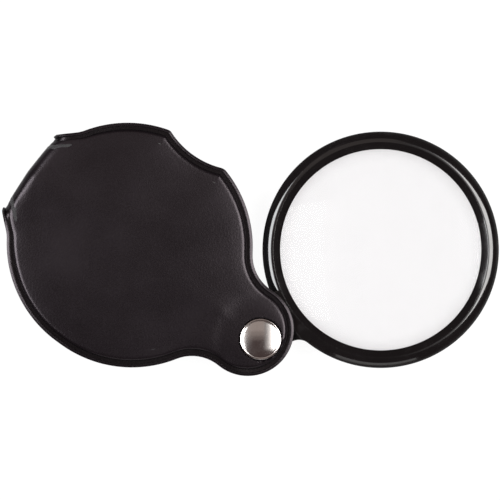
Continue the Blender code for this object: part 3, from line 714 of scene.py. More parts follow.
def notched_side(inset, hollow, shoulder):
    """The body's other side, from waist to shoulder, which the thumb notch cuts."""
    body, notch = BODY_RADIUS - inset, NOTCH_RADIUS + inset
    corners = [max(r - inset, SMALLEST_CORNER) for r in NOTCH_CORNERS]
    near = crossing(BODY_NEAR, body - corners[0], NOTCH_CENTRE, notch + corners[0], -1)
    far = crossing(BODY_FAR, body - corners[1], NOTCH_CENTRE, notch + corners[1], 1)
    low_hollow, low_shoulder = (hollow[0], -hollow[1]), (shoulder[0], -shoulder[1])
    beyond_near = (2 * near[0] - BODY_NEAR[0], 2 * near[1] - BODY_NEAR[1])
    beyond_far = (2 * far[0] - BODY_FAR[0], 2 * far[1] - BODY_FAR[1])
    cut = arc(BODY_NEAR, body, low_hollow, near, NEAR_STEPS)[1:-1]
    cut += arc(near, corners[0], beyond_near, NOTCH_CENTRE, CORNER_STEPS)
    cut += arc(NOTCH_CENTRE, notch, near, far, NOTCH_STEPS, True)[1:-1]
    cut += arc(far, corners[1], NOTCH_CENTRE, beyond_far, CORNER_STEPS)
    return cut + arc(BODY_FAR, body, far, low_shoulder, BODY_STEPS - CORNER_STEPS)[1:]


outer_edge = flap_outline(0.0)
print("flap outline has", len(outer_edge), "points")

# %% [markdown]
# ## How thick the flap is, from edge to middle
# Skin and lining are welded together along the rim, with the welded edge left as a small round
# bead. Next to it runs a flat groove, and from there the skin climbs over board and foam into a
# padded panel with a rounded shoulder. Near the rivet both flaps are squeezed together, and at the
# fold the lining and the rim rise towards the bend. So every height is a formula of the place and
# of its distance from the edge, which is called its inset.

# %% Levels and thicknesses
LINING_LEVEL = 3.6 * MM  # inner face of the lining, above the middle plane
PANEL_SQUEEZE, RIM_SQUEEZE = 1.1 * MM, 0.45 * MM  # how much lower it is at the rivet
PANEL_LIFT_AT_FOLD, RIM_LIFT_AT_FOLD = 1.4 * MM, 0.75 * MM  # and how much higher at the fold
RIM_BAND, RIM_BLEND = 2.0 * MM, 1.5 * MM  # the rim's values hold this far in, then blend over
LINING_THICKNESS, WELD_THICKNESS, SKIN_THICKNESS = 0.35 * MM, 0.20 * MM, 0.50 * MM
SQUEEZED_WITHIN, SQUEEZE_WIDTH = 6.6 * MM, 4.9 * MM  # from the rivet's axis
FOLD_LIFT_FROM, FOLD_LIFT_PAST = 66.0 * MM, 2.0 * MM  # the lift ends this far into the bend


def ease(value):
    """0 below 0, 1 above 1, and a smooth rise between."""
    value = min(max(value, 0.0), 1.0)
    return value * value * (3.0 - 2.0 * value)


def quarter_round(value):
    """Rises from 0 to 1 like a quarter circle: steep at first, level at the end."""
    value = min(max(value, 0.0), 1.0)
    return math.sqrt(1.0 - (1.0 - value) ** 2)


def rivet_share(x, y):
    """1 at the rivet, 0 away from it."""
    return 1.0 - ease((math.hypot(x, y) - SQUEEZED_WITHIN) / SQUEEZE_WIDTH)


def fold_share(x):
    """0 away from the fold, 1 at it."""
    return ease((x - FOLD_LIFT_FROM) / (BEND_START + FOLD_LIFT_PAST - FOLD_LIFT_FROM))


# %% Lining, weld and panel
CAP_SEAT, CAP_SEAT_RADIUS = 4.30 * MM, 6.1 * MM  # the skin's level under the rivet's cap
CAP_WELL, CAP_WELL_WIDTH = 1.05 * MM, 0.16 * MM  # the padding wells up round the cap
CLIMB_FROM, CLIMB_WIDTH = 6.6 * MM, 9.0 * MM  # from the rivet's axis, up to the full thickness


def lining_inside(x, y, inset):
    """Inner face of the lining. Along the rim the rivet and the fold shift it less."""
    middle = ease((inset - RIM_BAND) / RIM_BLEND)
    squeeze = RIM_SQUEEZE + (PANEL_SQUEEZE - RIM_SQUEEZE) * middle
    lift = RIM_LIFT_AT_FOLD + (PANEL_LIFT_AT_FOLD - RIM_LIFT_AT_FOLD) * middle
    return LINING_LEVEL - squeeze * rivet_share(x, y) + lift * fold_share(x)


def lining_outside(x, y, inset):
    return lining_inside(x, y, inset) + LINING_THICKNESS


def weld_level(x, y):
    """Bottom of the groove, where skin and lining are pressed into one."""
    return lining_outside(x, y, 0.0) + WELD_THICKNESS


def panel_level(x, y):
    """Top of the padded panel: full over the foam, and drawn down under the rivet's cap."""
    reach = math.hypot(x, y)
    level = CAP_SEAT + CAP_WELL * quarter_round((reach - CAP_SEAT_RADIUS) / CAP_WELL_WIDTH)
    level += (HALF_THICKNESS - CAP_SEAT - CAP_WELL) * ease((reach - CLIMB_FROM) / CLIMB_WIDTH)
    return level


# %% [markdown]
# ## What makes the panel look soft
# The panel is full in its middle and falls a little towards the rim, which is called its crown. Two
# slow falls are laid over each other, a wide one and one near the rim. A lift of the whole panel
# lets its middle stand a little proud, and all three fade out round the rivet. Broad shallow
# hollows and a few short creases at the bend come from noise.

# %% Small unevenness of the padded panel, and creases at the fold
HOLLOW_DEPTH, HOLLOWS_PER_METRE = 0.05 * MM, 45.0
CREASE_DEPTH, CREASE_FROM, CREASE_BLEND = 0.15 * MM, -1.0 * MM, 2.5 * MM  # from the bend's start
CREASES_PER_METRE, FINE_CREASES_PER_METRE = (620.0, 150.0), (1500.0, 260.0)


def unevenness(x, y):
    """From 0 to 1: broad soft hollows of the padding, a couple of centimetres across."""
    return 0.5 + 0.5 * noise.noise(Vector((x * HOLLOWS_PER_METRE, y * HOLLOWS_PER_METRE, 3.7)))


def fold_creases(x, y):
    """From 0 up to 1.5: short creases along the bend, only where the fabric turns."""
    (across, along), (fine_across, fine_along) = CREASES_PER_METRE, FINE_CREASES_PER_METRE
    lines = noise.noise(Vector((x * across, y * along, 1.3)))
    lines += 0.5 * noise.noise(Vector((x * fine_across, y * fine_along, 8.1)))
    return max(lines, 0.0) * ease((x - BEND_START - CREASE_FROM) / CREASE_BLEND)


# %% Skin, outer and inner face
BEAD_WIDTH, BEAD_RISE = 0.98 * MM, 0.68 * MM
BEAD_WALL, BEAD_WALL_WIDTH = 0.58, 0.10  # shares of its rise and width that the steep outer side has
BEAD_SLOPE_WIDTH, BEAD_BACK_WIDTH = 0.70, 0.26  # shares of its width
GROOVE_END, SHOULDER_WIDTH = 1.85 * MM, 1.1 * MM
CROWN, CROWN_WIDTH, CROWN_LIFT = 1.20 * MM, 32.0 * MM, 0.28 * MM
EDGE_CROWN, EDGE_CROWN_WIDTH = 0.35 * MM, 6.5 * MM
CROWN_FROM, CROWN_BLEND = 6.5 * MM, 6.0 * MM  # from the rivet's axis
SETTLE_WIDTH = 2.0 * MM  # the unevenness starts gently, inside the groove's end
UNDER_PANEL = 6.0 * MM  # near the edge the inner face follows the panel's height this far in
WELD_GAP = 0.01 * MM


def skin_outside(x, y, inset):
    """Outer face of the skin."""
    weld = weld_level(x, y)
    if inset < BEAD_WIDTH:
        share = inset / BEAD_WIDTH
        wall = BEAD_WALL * quarter_round(share / BEAD_WALL_WIDTH)
        slope = wall + (1.0 - BEAD_WALL) * min(share / BEAD_SLOPE_WIDTH, 1.0)
        return weld + BEAD_RISE * slope * quarter_round((1.0 - share) / BEAD_BACK_WIDTH)
    if inset <= GROOVE_END:
        return weld
    crown = CROWN * max(1.0 - inset / CROWN_WIDTH, 0.0) ** 2 - CROWN_LIFT
    crown += EDGE_CROWN * max(1.0 - inset / EDGE_CROWN_WIDTH, 0.0) ** 2
    panel = panel_level(x, y) - crown * ease((math.hypot(x, y) - CROWN_FROM) / CROWN_BLEND)
    rise = (panel - weld) * quarter_round((inset - GROOVE_END) / SHOULDER_WIDTH)
    settled = ease((inset - GROOVE_END) / SETTLE_WIDTH)
    hollow = HOLLOW_DEPTH * unevenness(x, y) + CREASE_DEPTH * fold_creases(x, y)
    return weld + rise - hollow * settled


def skin_inside(x, y, inset):
    """Inner face of the skin: on the lining along the rim, a fabric's thickness under the panel."""
    weld = weld_level(x, y) - WELD_THICKNESS + WELD_GAP
    rise = skin_outside(x, y, max(inset, UNDER_PANEL)) - SKIN_THICKNESS - weld
    start = GROOVE_END + SKIN_THICKNESS
    return weld + max(rise, 0.0) * quarter_round((inset - start) / SHOULDER_WIDTH)


SAMPLE = 40.0 * MM  # a place on the flap's middle line, well away from rivet and fold
print("groove", round(weld_level(SAMPLE, 0.0) / MM, 2), "mm over the middle plane")
print("panel", round(panel_level(SAMPLE, 0.0) / MM, 2), "mm before its crown")

# %% [markdown]
# ## Turning the drawing into a folded sheet
# The band along the edge is made of rows of four-sided faces between neighbouring inset outlines,
# because they can follow the bead and the groove closely. The wide middle is filled with evenly
# spread points joined by Delaunay triangulation, because rows would crowd together there. Top and
# underside share one plan, so the sheet closes into a solid along its edge and round the rivet's
# hole. At the fold it wraps round a half turn, and a mirrored copy makes the other flap.

# %% Placing plan points in space
COS_CASE, SIN_CASE = math.cos(CASE_ANGLE), math.sin(CASE_ANGLE)
TURN_LEFT = 1e-4  # closer than this to the quarter turn counts as the middle of the fold


def in_space(x, y, height):
    """A plan point of the front flap at a height over the middle plane, wrapped round the bend."""
    turn = (along_sheet(x) - BEND_START) / FOLD_RADIUS
    if turn > 0.0:
        x = BEND_START + height * math.sin(turn) ** BEND_SQUARENESS
        height *= math.cos(turn) ** BEND_SQUARENESS if turn < math.pi / 2 - TURN_LEFT else 0.0
    return Vector((x, y, height))


def case_to_world(point):
    """From the flap's plan to the table, turned about the rivet."""
    return Vector((
        PIVOT.x + point.x * COS_CASE - point.y * SIN_CASE,
        PIVOT.y + point.x * SIN_CASE + point.y * COS_CASE,
        PIVOT.z + point.z,
    ))


# %% Two questions about outlines
def distance_to_run(points, run):
    """How far each point is from a run of line segments."""
    starts, ends = np.array(run[:-1]), np.array(run[1:])
    spans = ends - starts
    found = []
    for point in np.array(points):
        share = ((point - starts) * spans).sum(1) / (spans**2).sum(1)
        nearest = starts + spans * np.clip(share, 0.0, 1.0)[:, None]
        found.append(float(np.hypot(*(point - nearest).T).min()))
    return found


def inside(point, loop):
    """Whether a line from the point towards greater x crosses the loop an odd number of times."""
    x, y = point
    odd = False
    for (x1, y1), (x2, y2) in zip(loop, loop[1:] + loop[:1]):
        if (y1 > y) != (y2 > y) and x < x1 + (x2 - x1) * (y - y1) / (y2 - y1):
            odd = not odd
    return odd


# %% Points over the middle of the flap
# Close rings follow the skin where it wells up round the cap, and wider ones the slope outside it.
CLOSE_RINGS = [r * MM for r in (3.7, 4.6, 5.5, 6.06, 6.11, 6.15, 6.20, 6.25, 6.32, 6.5, 6.9)]
SLOPE_RINGS = [(7.6 + 0.85 * i) * MM for i in range(9)]
RING_SPACING, FEWEST_ON_RING = 1.1 * MM, 6
GRID, GRID_STRETCH = 1.9 * MM, 1.1  # the grid's step along the flap, and how much wider it is across
GRID_FROM_RIVET, GRID_FROM_BEND = 15.8 * MM, 1.6 * MM
GRID_BEFORE_RIVET, GRID_EACH_SIDE = 4, 19  # rows and places that reach past the outline
BEND_ROWS, BEND_ROWS_FROM, BEND_SPACING, BEND_EACH_SIDE = 18, 0.9 * MM, 1.0 * MM, 13
EDGE_GAP = 0.45 * MM  # free points keep this far from the outline


def middle_points(boundary):
    """Free points: rings round the rivet, an even grid over the panel, and close rows on the bend."""
    points = []
    for ring in CLOSE_RINGS + SLOPE_RINGS:
        points += circle(ring, int(math.tau * ring / RING_SPACING) + FEWEST_ON_RING)
    for i in range(-GRID_BEFORE_RIVET, int(BEND_START / GRID) + 1):
        for j in range(-GRID_EACH_SIDE, GRID_EACH_SIDE + 1):
            x, y = i * GRID, (j + 0.5 * (i % 2)) * GRID * GRID_STRETCH
            if math.hypot(x, y) > GRID_FROM_RIVET and x < BEND_START - GRID_FROM_BEND:
                points.append((x, y))
    first = BEND_START - BEND_ROWS_FROM
    for i in range(BEND_ROWS):
        x = plan_x(first + (BLANK_END - first) * i / BEND_ROWS)
        row = range(-BEND_EACH_SIDE, BEND_EACH_SIDE + 1)
        points += [(x, (j + 0.5 * (i % 2)) * BEND_SPACING) for j in row]
    kept = [p for p in points if inside(p, boundary)]
    away = distance_to_run(kept, boundary + boundary[:1])
    return [p for p, gap in zip(kept, away) if gap > EDGE_GAP]


# %% The middle as triangles
HOLE_RADIUS, HOLE_STEPS = 3.0 * MM, 36
FOLD_STEPS = 24
TOUCHING = 0.001  # millimetres, in the triangulation
IN_HOLE = 0.995  # a triangle whose middle is nearer the axis than this share of the hole's radius


def middle_triangles(last):
    """The last outline closed along the fold, with the rivet's hole in it, filled with triangles.
    Gives the points that come after the outline's own, and the faces, counted from its first."""
    span = last[0][1] - last[-1][1]
    closing = [(FOLD_REACH, last[-1][1] + span * i / FOLD_STEPS) for i in range(1, FOLD_STEPS)]
    boundary = last + closing
    hole = circle(HOLE_RADIUS, HOLE_STEPS)
    points = boundary + hole + middle_points(boundary)
    rim = len(boundary)
    edges = [(i, (i + 1) % rim) for i in range(rim)]
    edges += [(rim + i, rim + (i + 1) % HOLE_STEPS) for i in range(HOLE_STEPS)]
    flat = [Vector((along_sheet(x), y)) / MM for x, y in points]
    _, _, found, sources, _, _ = delaunay_2d_cdt(flat, edges, [], 0, TOUCHING, True)
    faces = []
    for face in found:
        numbers = tuple(sources[i][0] for i in face)
        corners = [points[i] for i in numbers]
        middle = (sum(c[0] for c in corners) / 3, sum(c[1] for c in corners) / 3)
        if math.hypot(*middle) > HOLE_RADIUS * IN_HOLE and inside(middle, boundary):
            faces.append(numbers)
    return points[len(last):], faces


# %% Building a folded sheet
def folded_sheet(name, insets, outer_face, inner_face, material):
    """Both flaps and the bend between them as one closed mesh."""
    loops = [flap_outline(inset) for inset in insets]
    count = len(loops[0])
    plan = [point for loop in loops for point in loop]
    depth = [inset for inset in insets for _ in range(count)]
    last_row = (len(loops) - 1) * count
    faces = []
    for row in range(0, last_row, count):
        for a in range(row, row + count - 1):
            faces.append((a, a + 1, a + 1 + count, a + count))
    added, triangles = middle_triangles(loops[-1])
    faces += [tuple(last_row + i for i in face) for face in triangles]
    plan += added
    depth += [max(gap, insets[-1]) for gap in distance_to_run(added, loops[0])]
    return sheet_object(name, plan, depth, faces, outer_face, inner_face, material)


# %% Two faces and two flaps
SAME_PLACE, MERGED = 1e-6, 2e-6  # metres
AT_FOLD = 1e-7


def open_edges_of(faces):
    """Edges that only one face uses, in the direction in which it uses them."""
    uses = {}
    for face in faces:
        for a, b in zip(face, face[1:] + face[:1]):
            uses.setdefault((min(a, b), max(a, b)), []).append((a, b))
    return [found[0] for found in uses.values() if len(found) == 1]


def sheet_object(name, plan, depth, faces, outer_face, inner_face, material):
    """Gives a plan two faces, closes its open edges, and mirrors it into the other flap."""
    made = bmesh.new()
    edge_inset = made.verts.layers.float.new("edge_inset")
    layers = []
    for height in (outer_face, inner_face):
        places = [in_space(x, y, height(x, y, d)) for (x, y), d in zip(plan, depth)]
        layers.append([made.verts.new(place) for place in places])
        for vertex, d in zip(layers[-1], depth):
            vertex[edge_inset] = d / MM
    for layer in layers:
        for face in faces:
            made.faces.new([layer[i] for i in face])
    outer, inner = layers
    for a, b in open_edges_of(faces):
        if min(plan[a][0], plan[b][0]) > FOLD_REACH - AT_FOLD:
            continue  # the fold's middle stays open, to meet the mirrored flap
        made.faces.new((outer[b], outer[a], inner[a], inner[b]))
    bmesh.ops.delete(made, geom=[v for v in made.verts if not v.link_faces], context="VERTS")
    everything = made.verts[:] + made.edges[:] + made.faces[:]
    bmesh.ops.mirror(made, geom=everything, axis="Z", merge_dist=SAME_PLACE)
    bmesh.ops.remove_doubles(made, verts=made.verts, dist=MERGED)
    for vertex in made.verts:
        vertex.co.z = max(vertex.co.z, -HALF_THICKNESS)  # the back is pressed flat by the table
        vertex.co = case_to_world(vertex.co)
    bmesh.ops.recalc_face_normals(made, faces=made.faces)
    return finished(name, made, material)


# %% From a bmesh to a piece
def finished(name, made, material, sharp=35.0):
    """A smooth object with its material. Edges over the sharp angle, in degrees, stay hard."""
    open_edges = sum(1 for edge in made.edges if len(edge.link_faces) != 2)
    mesh = bpy.data.meshes.new(name)
    made.to_mesh(mesh)
    made.free()
    mesh.materials.append(material)
    mesh.shade_smooth()
    mesh.set_sharp_from_angle(angle=math.radians(sharp))
    piece = bpy.data.objects.new(name, mesh)
    bpy.context.scene.collection.objects.link(piece)
    print(name, len(mesh.polygons), "faces,", open_edges, "open edges")
    return piece


# %% [markdown]
# ## The case's skin and lining
# The rows across the rim stand close where the section bends sharply: at both sides of the bead and
# at the foot of the padded shoulder. The lining needs fewer, because it is nearly flat. Both are
# folded sheets of cloth, and the flat area of the blank they are cut from is worked out.

# %% Skin
SKIN_ROWS = [r * MM for r in (
    0.0, 0.012, 0.045, 0.098, 0.14, 0.30, 0.50, 0.66, 0.725, 0.80, 0.87, 0.93, 0.966, 0.98,
    1.25, 1.55, 1.85, 1.87, 1.92, 2.02, 2.18, 2.40, 2.65, 2.95, 3.40,
)]
case_skin = folded_sheet("case_skin", SKIN_ROWS, skin_outside, skin_inside, coated_fabric)

# %% Lining
LINING_ROWS = [r * MM for r in (0.0, 0.7, 1.4, 2.0, 2.4, 2.8, 3.2, 3.6)]
case_lining_cloth = folded_sheet(
    "case_lining_cloth", LINING_ROWS, lining_outside, lining_inside, lining_cloth
)


# %% The blank that skin and lining are cut from
def blank_area():
    """Flat area of the whole blank: twice the developed outline's area, less a hole in each flap."""
    loop = [(along_sheet(x), y) for x, y in outer_edge]
    pairs = zip(loop, loop[1:] + loop[:1])
    return abs(sum(x1 * y2 - x2 * y1 for (x1, y1), (x2, y2) in pairs)) - math.tau * HOLE_RADIUS**2


print("blank area", round(blank_area() * 1e4, 1), "cm2")

for piece, cad_node, slot, under in (
    (case_skin, "case_outer_skin", "coated_fabric", ["front_stiffener_board", "back_stiffener_board"]),
    (case_lining_cloth, "case_lining", "lining", ["front_stiffener_board", "back_stiffener_board"]),
):
    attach(piece, "case")
    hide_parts(cad_node)
    blank_area()

# %% [markdown]
# ## Padding and stiffeners
# Under the skin of each flap lie a thin foam pad and a greyboard. The boards are flat pieces whose
# shape in the model is already right, so they only get a finish. The foam is soft, so it is drawn
# again with its cut edges rounded: the outline becomes one face, which is raised and bevelled.

# %% Foam pads
FOAM_INSET, FOAM_NEAR, FOAM_FAR = 4.4 * MM, 16.8 * MM, 71.2 * MM
FOAM_LOW, FOAM_HIGH, FOAM_ROUND = 4.87 * MM, 5.33 * MM, 0.18 * MM
LEVEL = 1e-9  # an edge is level if its ends differ by less


def foam_pad(name, side):
    """A rounded pad in the front flap (side 1) or the back flap (side -1)."""
    loop = [p for p in flap_outline(FOAM_INSET) if FOAM_NEAR < p[0] < FOAM_FAR]
    made = bmesh.new()
    base = made.faces.new([made.verts.new((x, y, FOAM_LOW)) for x, y in loop])
    for item in bmesh.ops.extrude_face_region(made, geom=[base])["geom"]:
        if isinstance(item, bmesh.types.BMVert):
            item.co.z = FOAM_HIGH
    made.normal_update()
    rims = [e for e in made.edges if abs(e.verts[0].co.z - e.verts[1].co.z) < LEVEL]
    bmesh.ops.bevel(made, geom=rims, offset=FOAM_ROUND, segments=3, affect="EDGES", profile=0.5)
    bmesh.ops.triangulate(made, faces=[f for f in made.faces if len(f.verts) > 4])
    for vertex in made.verts:
        vertex.co.z *= side
        vertex.co = case_to_world(vertex.co)
    bmesh.ops.recalc_face_normals(made, faces=made.faces)
    return finished(name, made, foam)


for side_name, side in (("front", 1), ("back", -1)):
    pad = foam_pad(f"{side_name}_foam", side)
    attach(pad, "case")
    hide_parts(f"{side_name}_foam_pad")


# %% [markdown]
# ## Pieces that keep their shape
# Boards, washers, sleeve and the rivet's inner halves are plain solids in the real thing too. Their
# engineering solids stay as they are and only get a finish, which keeps bores and fits exact.

# %% Finishes for the pieces that keep their shape
def finish_node(name, material):
    """Gives a piece of the engineering model a finish."""
    piece = bpy.data.objects[name]
    if not piece.material_slots:
        piece.data.materials.append(material)
    for slot in piece.material_slots:
        slot.material = material
    print(name, "gets", material.name)


for name, surface in (
    ("front_stiffener_board", greyboard), ("back_stiffener_board", greyboard),
    ("rivet_post", dull_plating), ("rivet_socket", dull_plating),
    ("pivot_sleeve", nylon), ("front_washer", nylon), ("back_washer", nylon),
):
    finish_node(name, surface)

# %% [markdown]
# ## Turned pieces
# Rivet cap, lens, ring and retaining ring are round, so each is a section turned about its axis.
# Writing the turning out with bmesh, instead of a modifier, lets the section's points that lie on
# the axis become one point, and gives evenly shaped faces.

# %% Turning a section
ON_AXIS = 1e-9  # metres from the axis


def turned(name, section, centre, steps, material, closed=True):
    """Turns a run of (radius, height) points about the upright axis through centre."""
    made = bmesh.new()
    columns = []
    for radius, height in section:
        if radius < ON_AXIS:
            columns.append([made.verts.new(centre + Vector((0.0, 0.0, height)))] * steps)
            continue
        places = [centre + Vector((x, y, height)) for x, y in circle(radius, steps)]
        columns.append([made.verts.new(place) for place in places])
    pairs = list(zip(columns, columns[1:]))
    if closed:
        pairs.append((columns[-1], columns[0]))
    for first, second in pairs:
        for i in range(steps):
            j = (i + 1) % steps
            corners = dict.fromkeys((first[i], first[j], second[j], second[i]))
            if len(corners) > 2:
                made.faces.new(list(corners))
    bmesh.ops.recalc_face_normals(made, faces=made.faces)
    return finished(name, made, material)


def bow(centre_r, centre_z, reach_r, reach_z, start, end, steps):
    """Part of an ellipse, with angles in degrees from straight up, turning outwards."""
    turns = [math.radians(start + (end - start) * i / steps) for i in range(steps + 1)]
    return [(centre_r + reach_r * math.sin(t), centre_z + reach_z * math.cos(t)) for t in turns]


def upside_down(section):
    """The same section below the middle plane."""
    return [(r, -z) for r, z in section]


# %% [markdown]
# ## Rivet caps
# A cap is a shallow dome pressed from thin nickel-plated sheet. Its edge is rolled under, and the
# roll shows from above as a thin bright ring with a fine dark line inside it, where dome and roll
# meet. That line is a real hollow in the section, and not paint, so it is there from every side.

# %% Section of a cap
CAP_RADIUS, CAP_TOP, DOME_RADIUS = 6.0 * MM, 5.95 * MM, 22.0 * MM
ROLL_RADIUS, ROLL_LIFT = 0.42 * MM, 0.03 * MM
ROLL_START, ROLL_END = -35.0, 180.0  # degrees from straight up, turning outwards
HOLLOW_WIDTH, HOLLOW_SINK = 0.05 * MM, 0.04 * MM
CAP_SHEET, LIP_INSIDE, LIP_THICKNESS, LIP_GAP = 0.25 * MM, 4.4 * MM, 0.2 * MM, 0.3 * MM
CAP_STEPS = 128


def cap_section():
    """From the middle of the dome, over the roll, and back under the dome."""
    dome_centre = CAP_TOP - DOME_RADIUS
    dome_end = CAP_RADIUS - 2 * ROLL_RADIUS + HOLLOW_SINK
    lean = math.degrees(math.asin(dome_end / DOME_RADIUS))
    dome = bow(0.0, dome_centre, DOME_RADIUS, DOME_RADIUS, 0.0, lean, 20)
    edge_z = dome[-1][1]
    hollow = [(dome_end + HOLLOW_WIDTH, edge_z - HOLLOW_SINK)]
    roll_r, roll_z = CAP_RADIUS - ROLL_RADIUS, edge_z - ROLL_RADIUS + ROLL_LIFT
    roll = bow(roll_r, roll_z, ROLL_RADIUS, ROLL_RADIUS, ROLL_START, ROLL_END, 16)
    low, inner_end = roll_z - ROLL_RADIUS, dome_end - LIP_GAP
    lip = [(LIP_INSIDE, low), (LIP_INSIDE, low + LIP_THICKNESS), (inner_end, low + LIP_THICKNESS)]
    inner = DOME_RADIUS - CAP_SHEET
    inner_lean = math.degrees(math.asin(inner_end / inner))
    return dome + hollow + roll + lip + bow(0.0, dome_centre, inner, inner, inner_lean, 0.0, 10)


for side_name, section in (("front", cap_section()), ("back", upside_down(cap_section()))):
    cap = turned(f"{side_name}_cap", section, PIVOT, CAP_STEPS, bright_nickel, closed=False)
    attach(cap, "case")
    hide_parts(f"rivet_{side_name}_cap")

# %% [markdown]
# ## Lens frame
# The frame is one moulding: a ring with a round outer side and a bevel that runs down to the
# opening, and an ear that the rivet holds. The ring is turned. The ear is a flat outline made
# thick, nearly level with the ring's crest where they meet and thinner between the flaps. A boolean
# union then makes one solid of the two, which is how the mould has it. An ear merely pushed into
# the ring would leave faces inside the plastic.

# %% Section of the ring
RING_RADIUS, RING_HALF = 34.0 * MM, 3.1 * MM
CREST_RADIUS, DOME_REACH = 30.8 * MM, 3.2 * MM  # the round outer side
DOME_START, DOME_END = 3.0, 43.0  # degrees from straight up, and from there on it is a slope
EDGE_ROUND = 0.2 * MM
OPENING_RADIUS, CREASE_RADIUS, BEVEL_ANGLE = 28.9 * MM, 30.95 * MM, math.radians(29.5)
LENS_SEAT, BORE_RADIUS, GROOVE_RADIUS = 1.15 * MM, 30.15 * MM, 30.6 * MM
GROOVE_TOP, GROOVE_LOW, BACK_HALF = 1.05 * MM, 2.35 * MM, 3.0 * MM
CREASE_ROUND, LIP_ROUND, BACK_CHAMFER = 0.08 * MM, 0.12 * MM, 0.25 * MM
BEFORE_CREASE = 0.1 * MM  # an extra point keeps the bevel flat right up to the crease
RING_STEPS = 240
ring_centre = Vector((LENS_CENTRE.x, LENS_CENTRE.y, PIVOT.z))


def ring_section():
    """From the crest over the round outer side, under the ring, up the lens seat and the bevel."""
    dome_centre = RING_HALF - DOME_REACH
    dome = bow(CREST_RADIUS, dome_centre, DOME_REACH, DOME_REACH, DOME_START, DOME_END, 26)
    edge_r = RING_RADIUS - EDGE_ROUND
    lean = math.radians(DOME_END)
    run = edge_r + EDGE_ROUND * math.sin(lean) - dome[-1][0]
    edge_z = dome[-1][1] - run * math.tan(lean) - EDGE_ROUND * math.cos(lean)
    half = dome + bow(edge_r, edge_z, EDGE_ROUND, EDGE_ROUND, DOME_END, 90.0, 6)
    outside = half + upside_down(half)[::-1]
    seat = [
        (BORE_RADIUS + BACK_CHAMFER, -BACK_HALF), (BORE_RADIUS, -BACK_HALF + BACK_CHAMFER),
        (BORE_RADIUS, -GROOVE_LOW), (GROOVE_RADIUS, -GROOVE_LOW), (GROOVE_RADIUS, -GROOVE_TOP),
        (BORE_RADIUS, -GROOVE_TOP), (BORE_RADIUS, LENS_SEAT), (OPENING_RADIUS, LENS_SEAT),
    ]
    # The bevel rises at a steady slope from the lip and meets the crest in a small rounded crease.
    bevel = math.degrees(BEVEL_ANGLE)
    lip_z = RING_HALF - (CREASE_RADIUS - OPENING_RADIUS) * math.tan(BEVEL_ANGLE)
    lip = bow(OPENING_RADIUS + LIP_ROUND, lip_z - LIP_ROUND, LIP_ROUND, LIP_ROUND, -90.0, -bevel, 5)
    crease = bow(CREASE_RADIUS, RING_HALF - CREASE_ROUND, CREASE_ROUND, CREASE_ROUND, -bevel, 0.0, 4)
    near_crease = (
        crease[0][0] - BEFORE_CREASE * math.cos(BEVEL_ANGLE),
        crease[0][1] - BEFORE_CREASE * math.sin(BEVEL_ANGLE),
    )
    return outside + seat + lip + [near_crease] + crease[:-1]


ring = turned("ring_of_frame", ring_section(), ring_centre, RING_STEPS, black_plastic)


# %% Outline and height of the ear
LENS_ANGLE = math.atan2(LENS_CENTRE.y - PIVOT.y, LENS_CENTRE.x - PIVOT.x)
LENS_OFFSET = math.hypot(LENS_CENTRE.x - PIVOT.x, LENS_CENTRE.y - PIVOT.y)
EAR_RADIUS, EAR_FILLET, EAR_BORE, BORE_STEPS = 6.0 * MM, 4.0 * MM, 3.5 * MM, 48
EAR_HALF, EAR_FLUSH, EAR_ROUND = 1.8 * MM, 3.07 * MM, 0.3 * MM
EAR_RISE_FROM, EAR_RISE_TO = 6.8 * MM, 9.8 * MM  # distances from the rivet along the ear
EAR_ROOT = 30.75 * MM  # the ear ends inside the ring, this far from the lens's centre


def ear_outline():
    """Round about the rivet, with hollow fillets where it runs into the ring; x runs to the lens."""
    middle = (LENS_OFFSET, 0.0)
    reach, side = RING_RADIUS + EAR_FILLET, EAR_RADIUS + EAR_FILLET
    fillet = (LENS_OFFSET - math.sqrt(reach**2 - side**2), side)
    below = (fillet[0], 0.0)
    half = arc(fillet, EAR_FILLET, middle, below, 10, hollow=True)
    half += arc((0.0, 0.0), EAR_RADIUS, (0.0, 1.0), (-1.0, 0.0), 16)
    root = arc(middle, EAR_ROOT, flipped_over(half[:1])[0], half[0], 10, hollow=True)
    return half + flipped_over(half)[1:] + root


def ear_height(x):
    """How far the ear's top is over the middle plane, x from the rivet."""
    risen = ease((x - EAR_RISE_FROM) / (EAR_RISE_TO - EAR_RISE_FROM))
    return EAR_HALF + (EAR_FLUSH - EAR_HALF) * risen


def lens_to_world(point):
    """From the ear's plan to the table, turned about the rivet."""
    cos, sin = math.cos(LENS_ANGLE), math.sin(LENS_ANGLE)
    return Vector((
        PIVOT.x + point.x * cos - point.y * sin,
        PIVOT.y + point.x * sin + point.y * cos,
        PIVOT.z + point.z,
    ))


# %% Ear
RISE_CUTS = 8
CUT_SNAP, DOUBLED = 1e-7, 1e-6  # metres


def shaped_mesh(piece):
    """A bmesh of a piece as its curve or modifiers shape it. The piece itself is taken away."""
    bpy.context.view_layer.update()
    seen = piece.evaluated_get(bpy.context.evaluated_depsgraph_get())
    made = bmesh.new()
    made.from_mesh(bpy.data.meshes.new_from_object(seen))
    bpy.data.objects.remove(piece)
    return made


def ear_blank():
    """The outline and the bore as a filled curve, made thick with rounded edges."""
    curve = bpy.data.curves.new("ear_outline", "CURVE")
    curve.dimensions = "2D"
    curve.fill_mode = "BOTH"
    curve.extrude = EAR_HALF - EAR_ROUND
    curve.bevel_depth, curve.bevel_resolution, curve.offset = EAR_ROUND, 2, -EAR_ROUND
    for points in (ear_outline(), circle(EAR_BORE, BORE_STEPS)):
        spline = curve.splines.new("POLY")
        spline.points.add(len(points) - 1)
        for point, (x, y) in zip(spline.points, points):
            point.co = (x, y, 0.0, 1.0)
        spline.use_cyclic_u = True
    drawn = bpy.data.objects.new("ear_outline", curve)
    bpy.context.scene.collection.objects.link(drawn)
    return shaped_mesh(drawn)


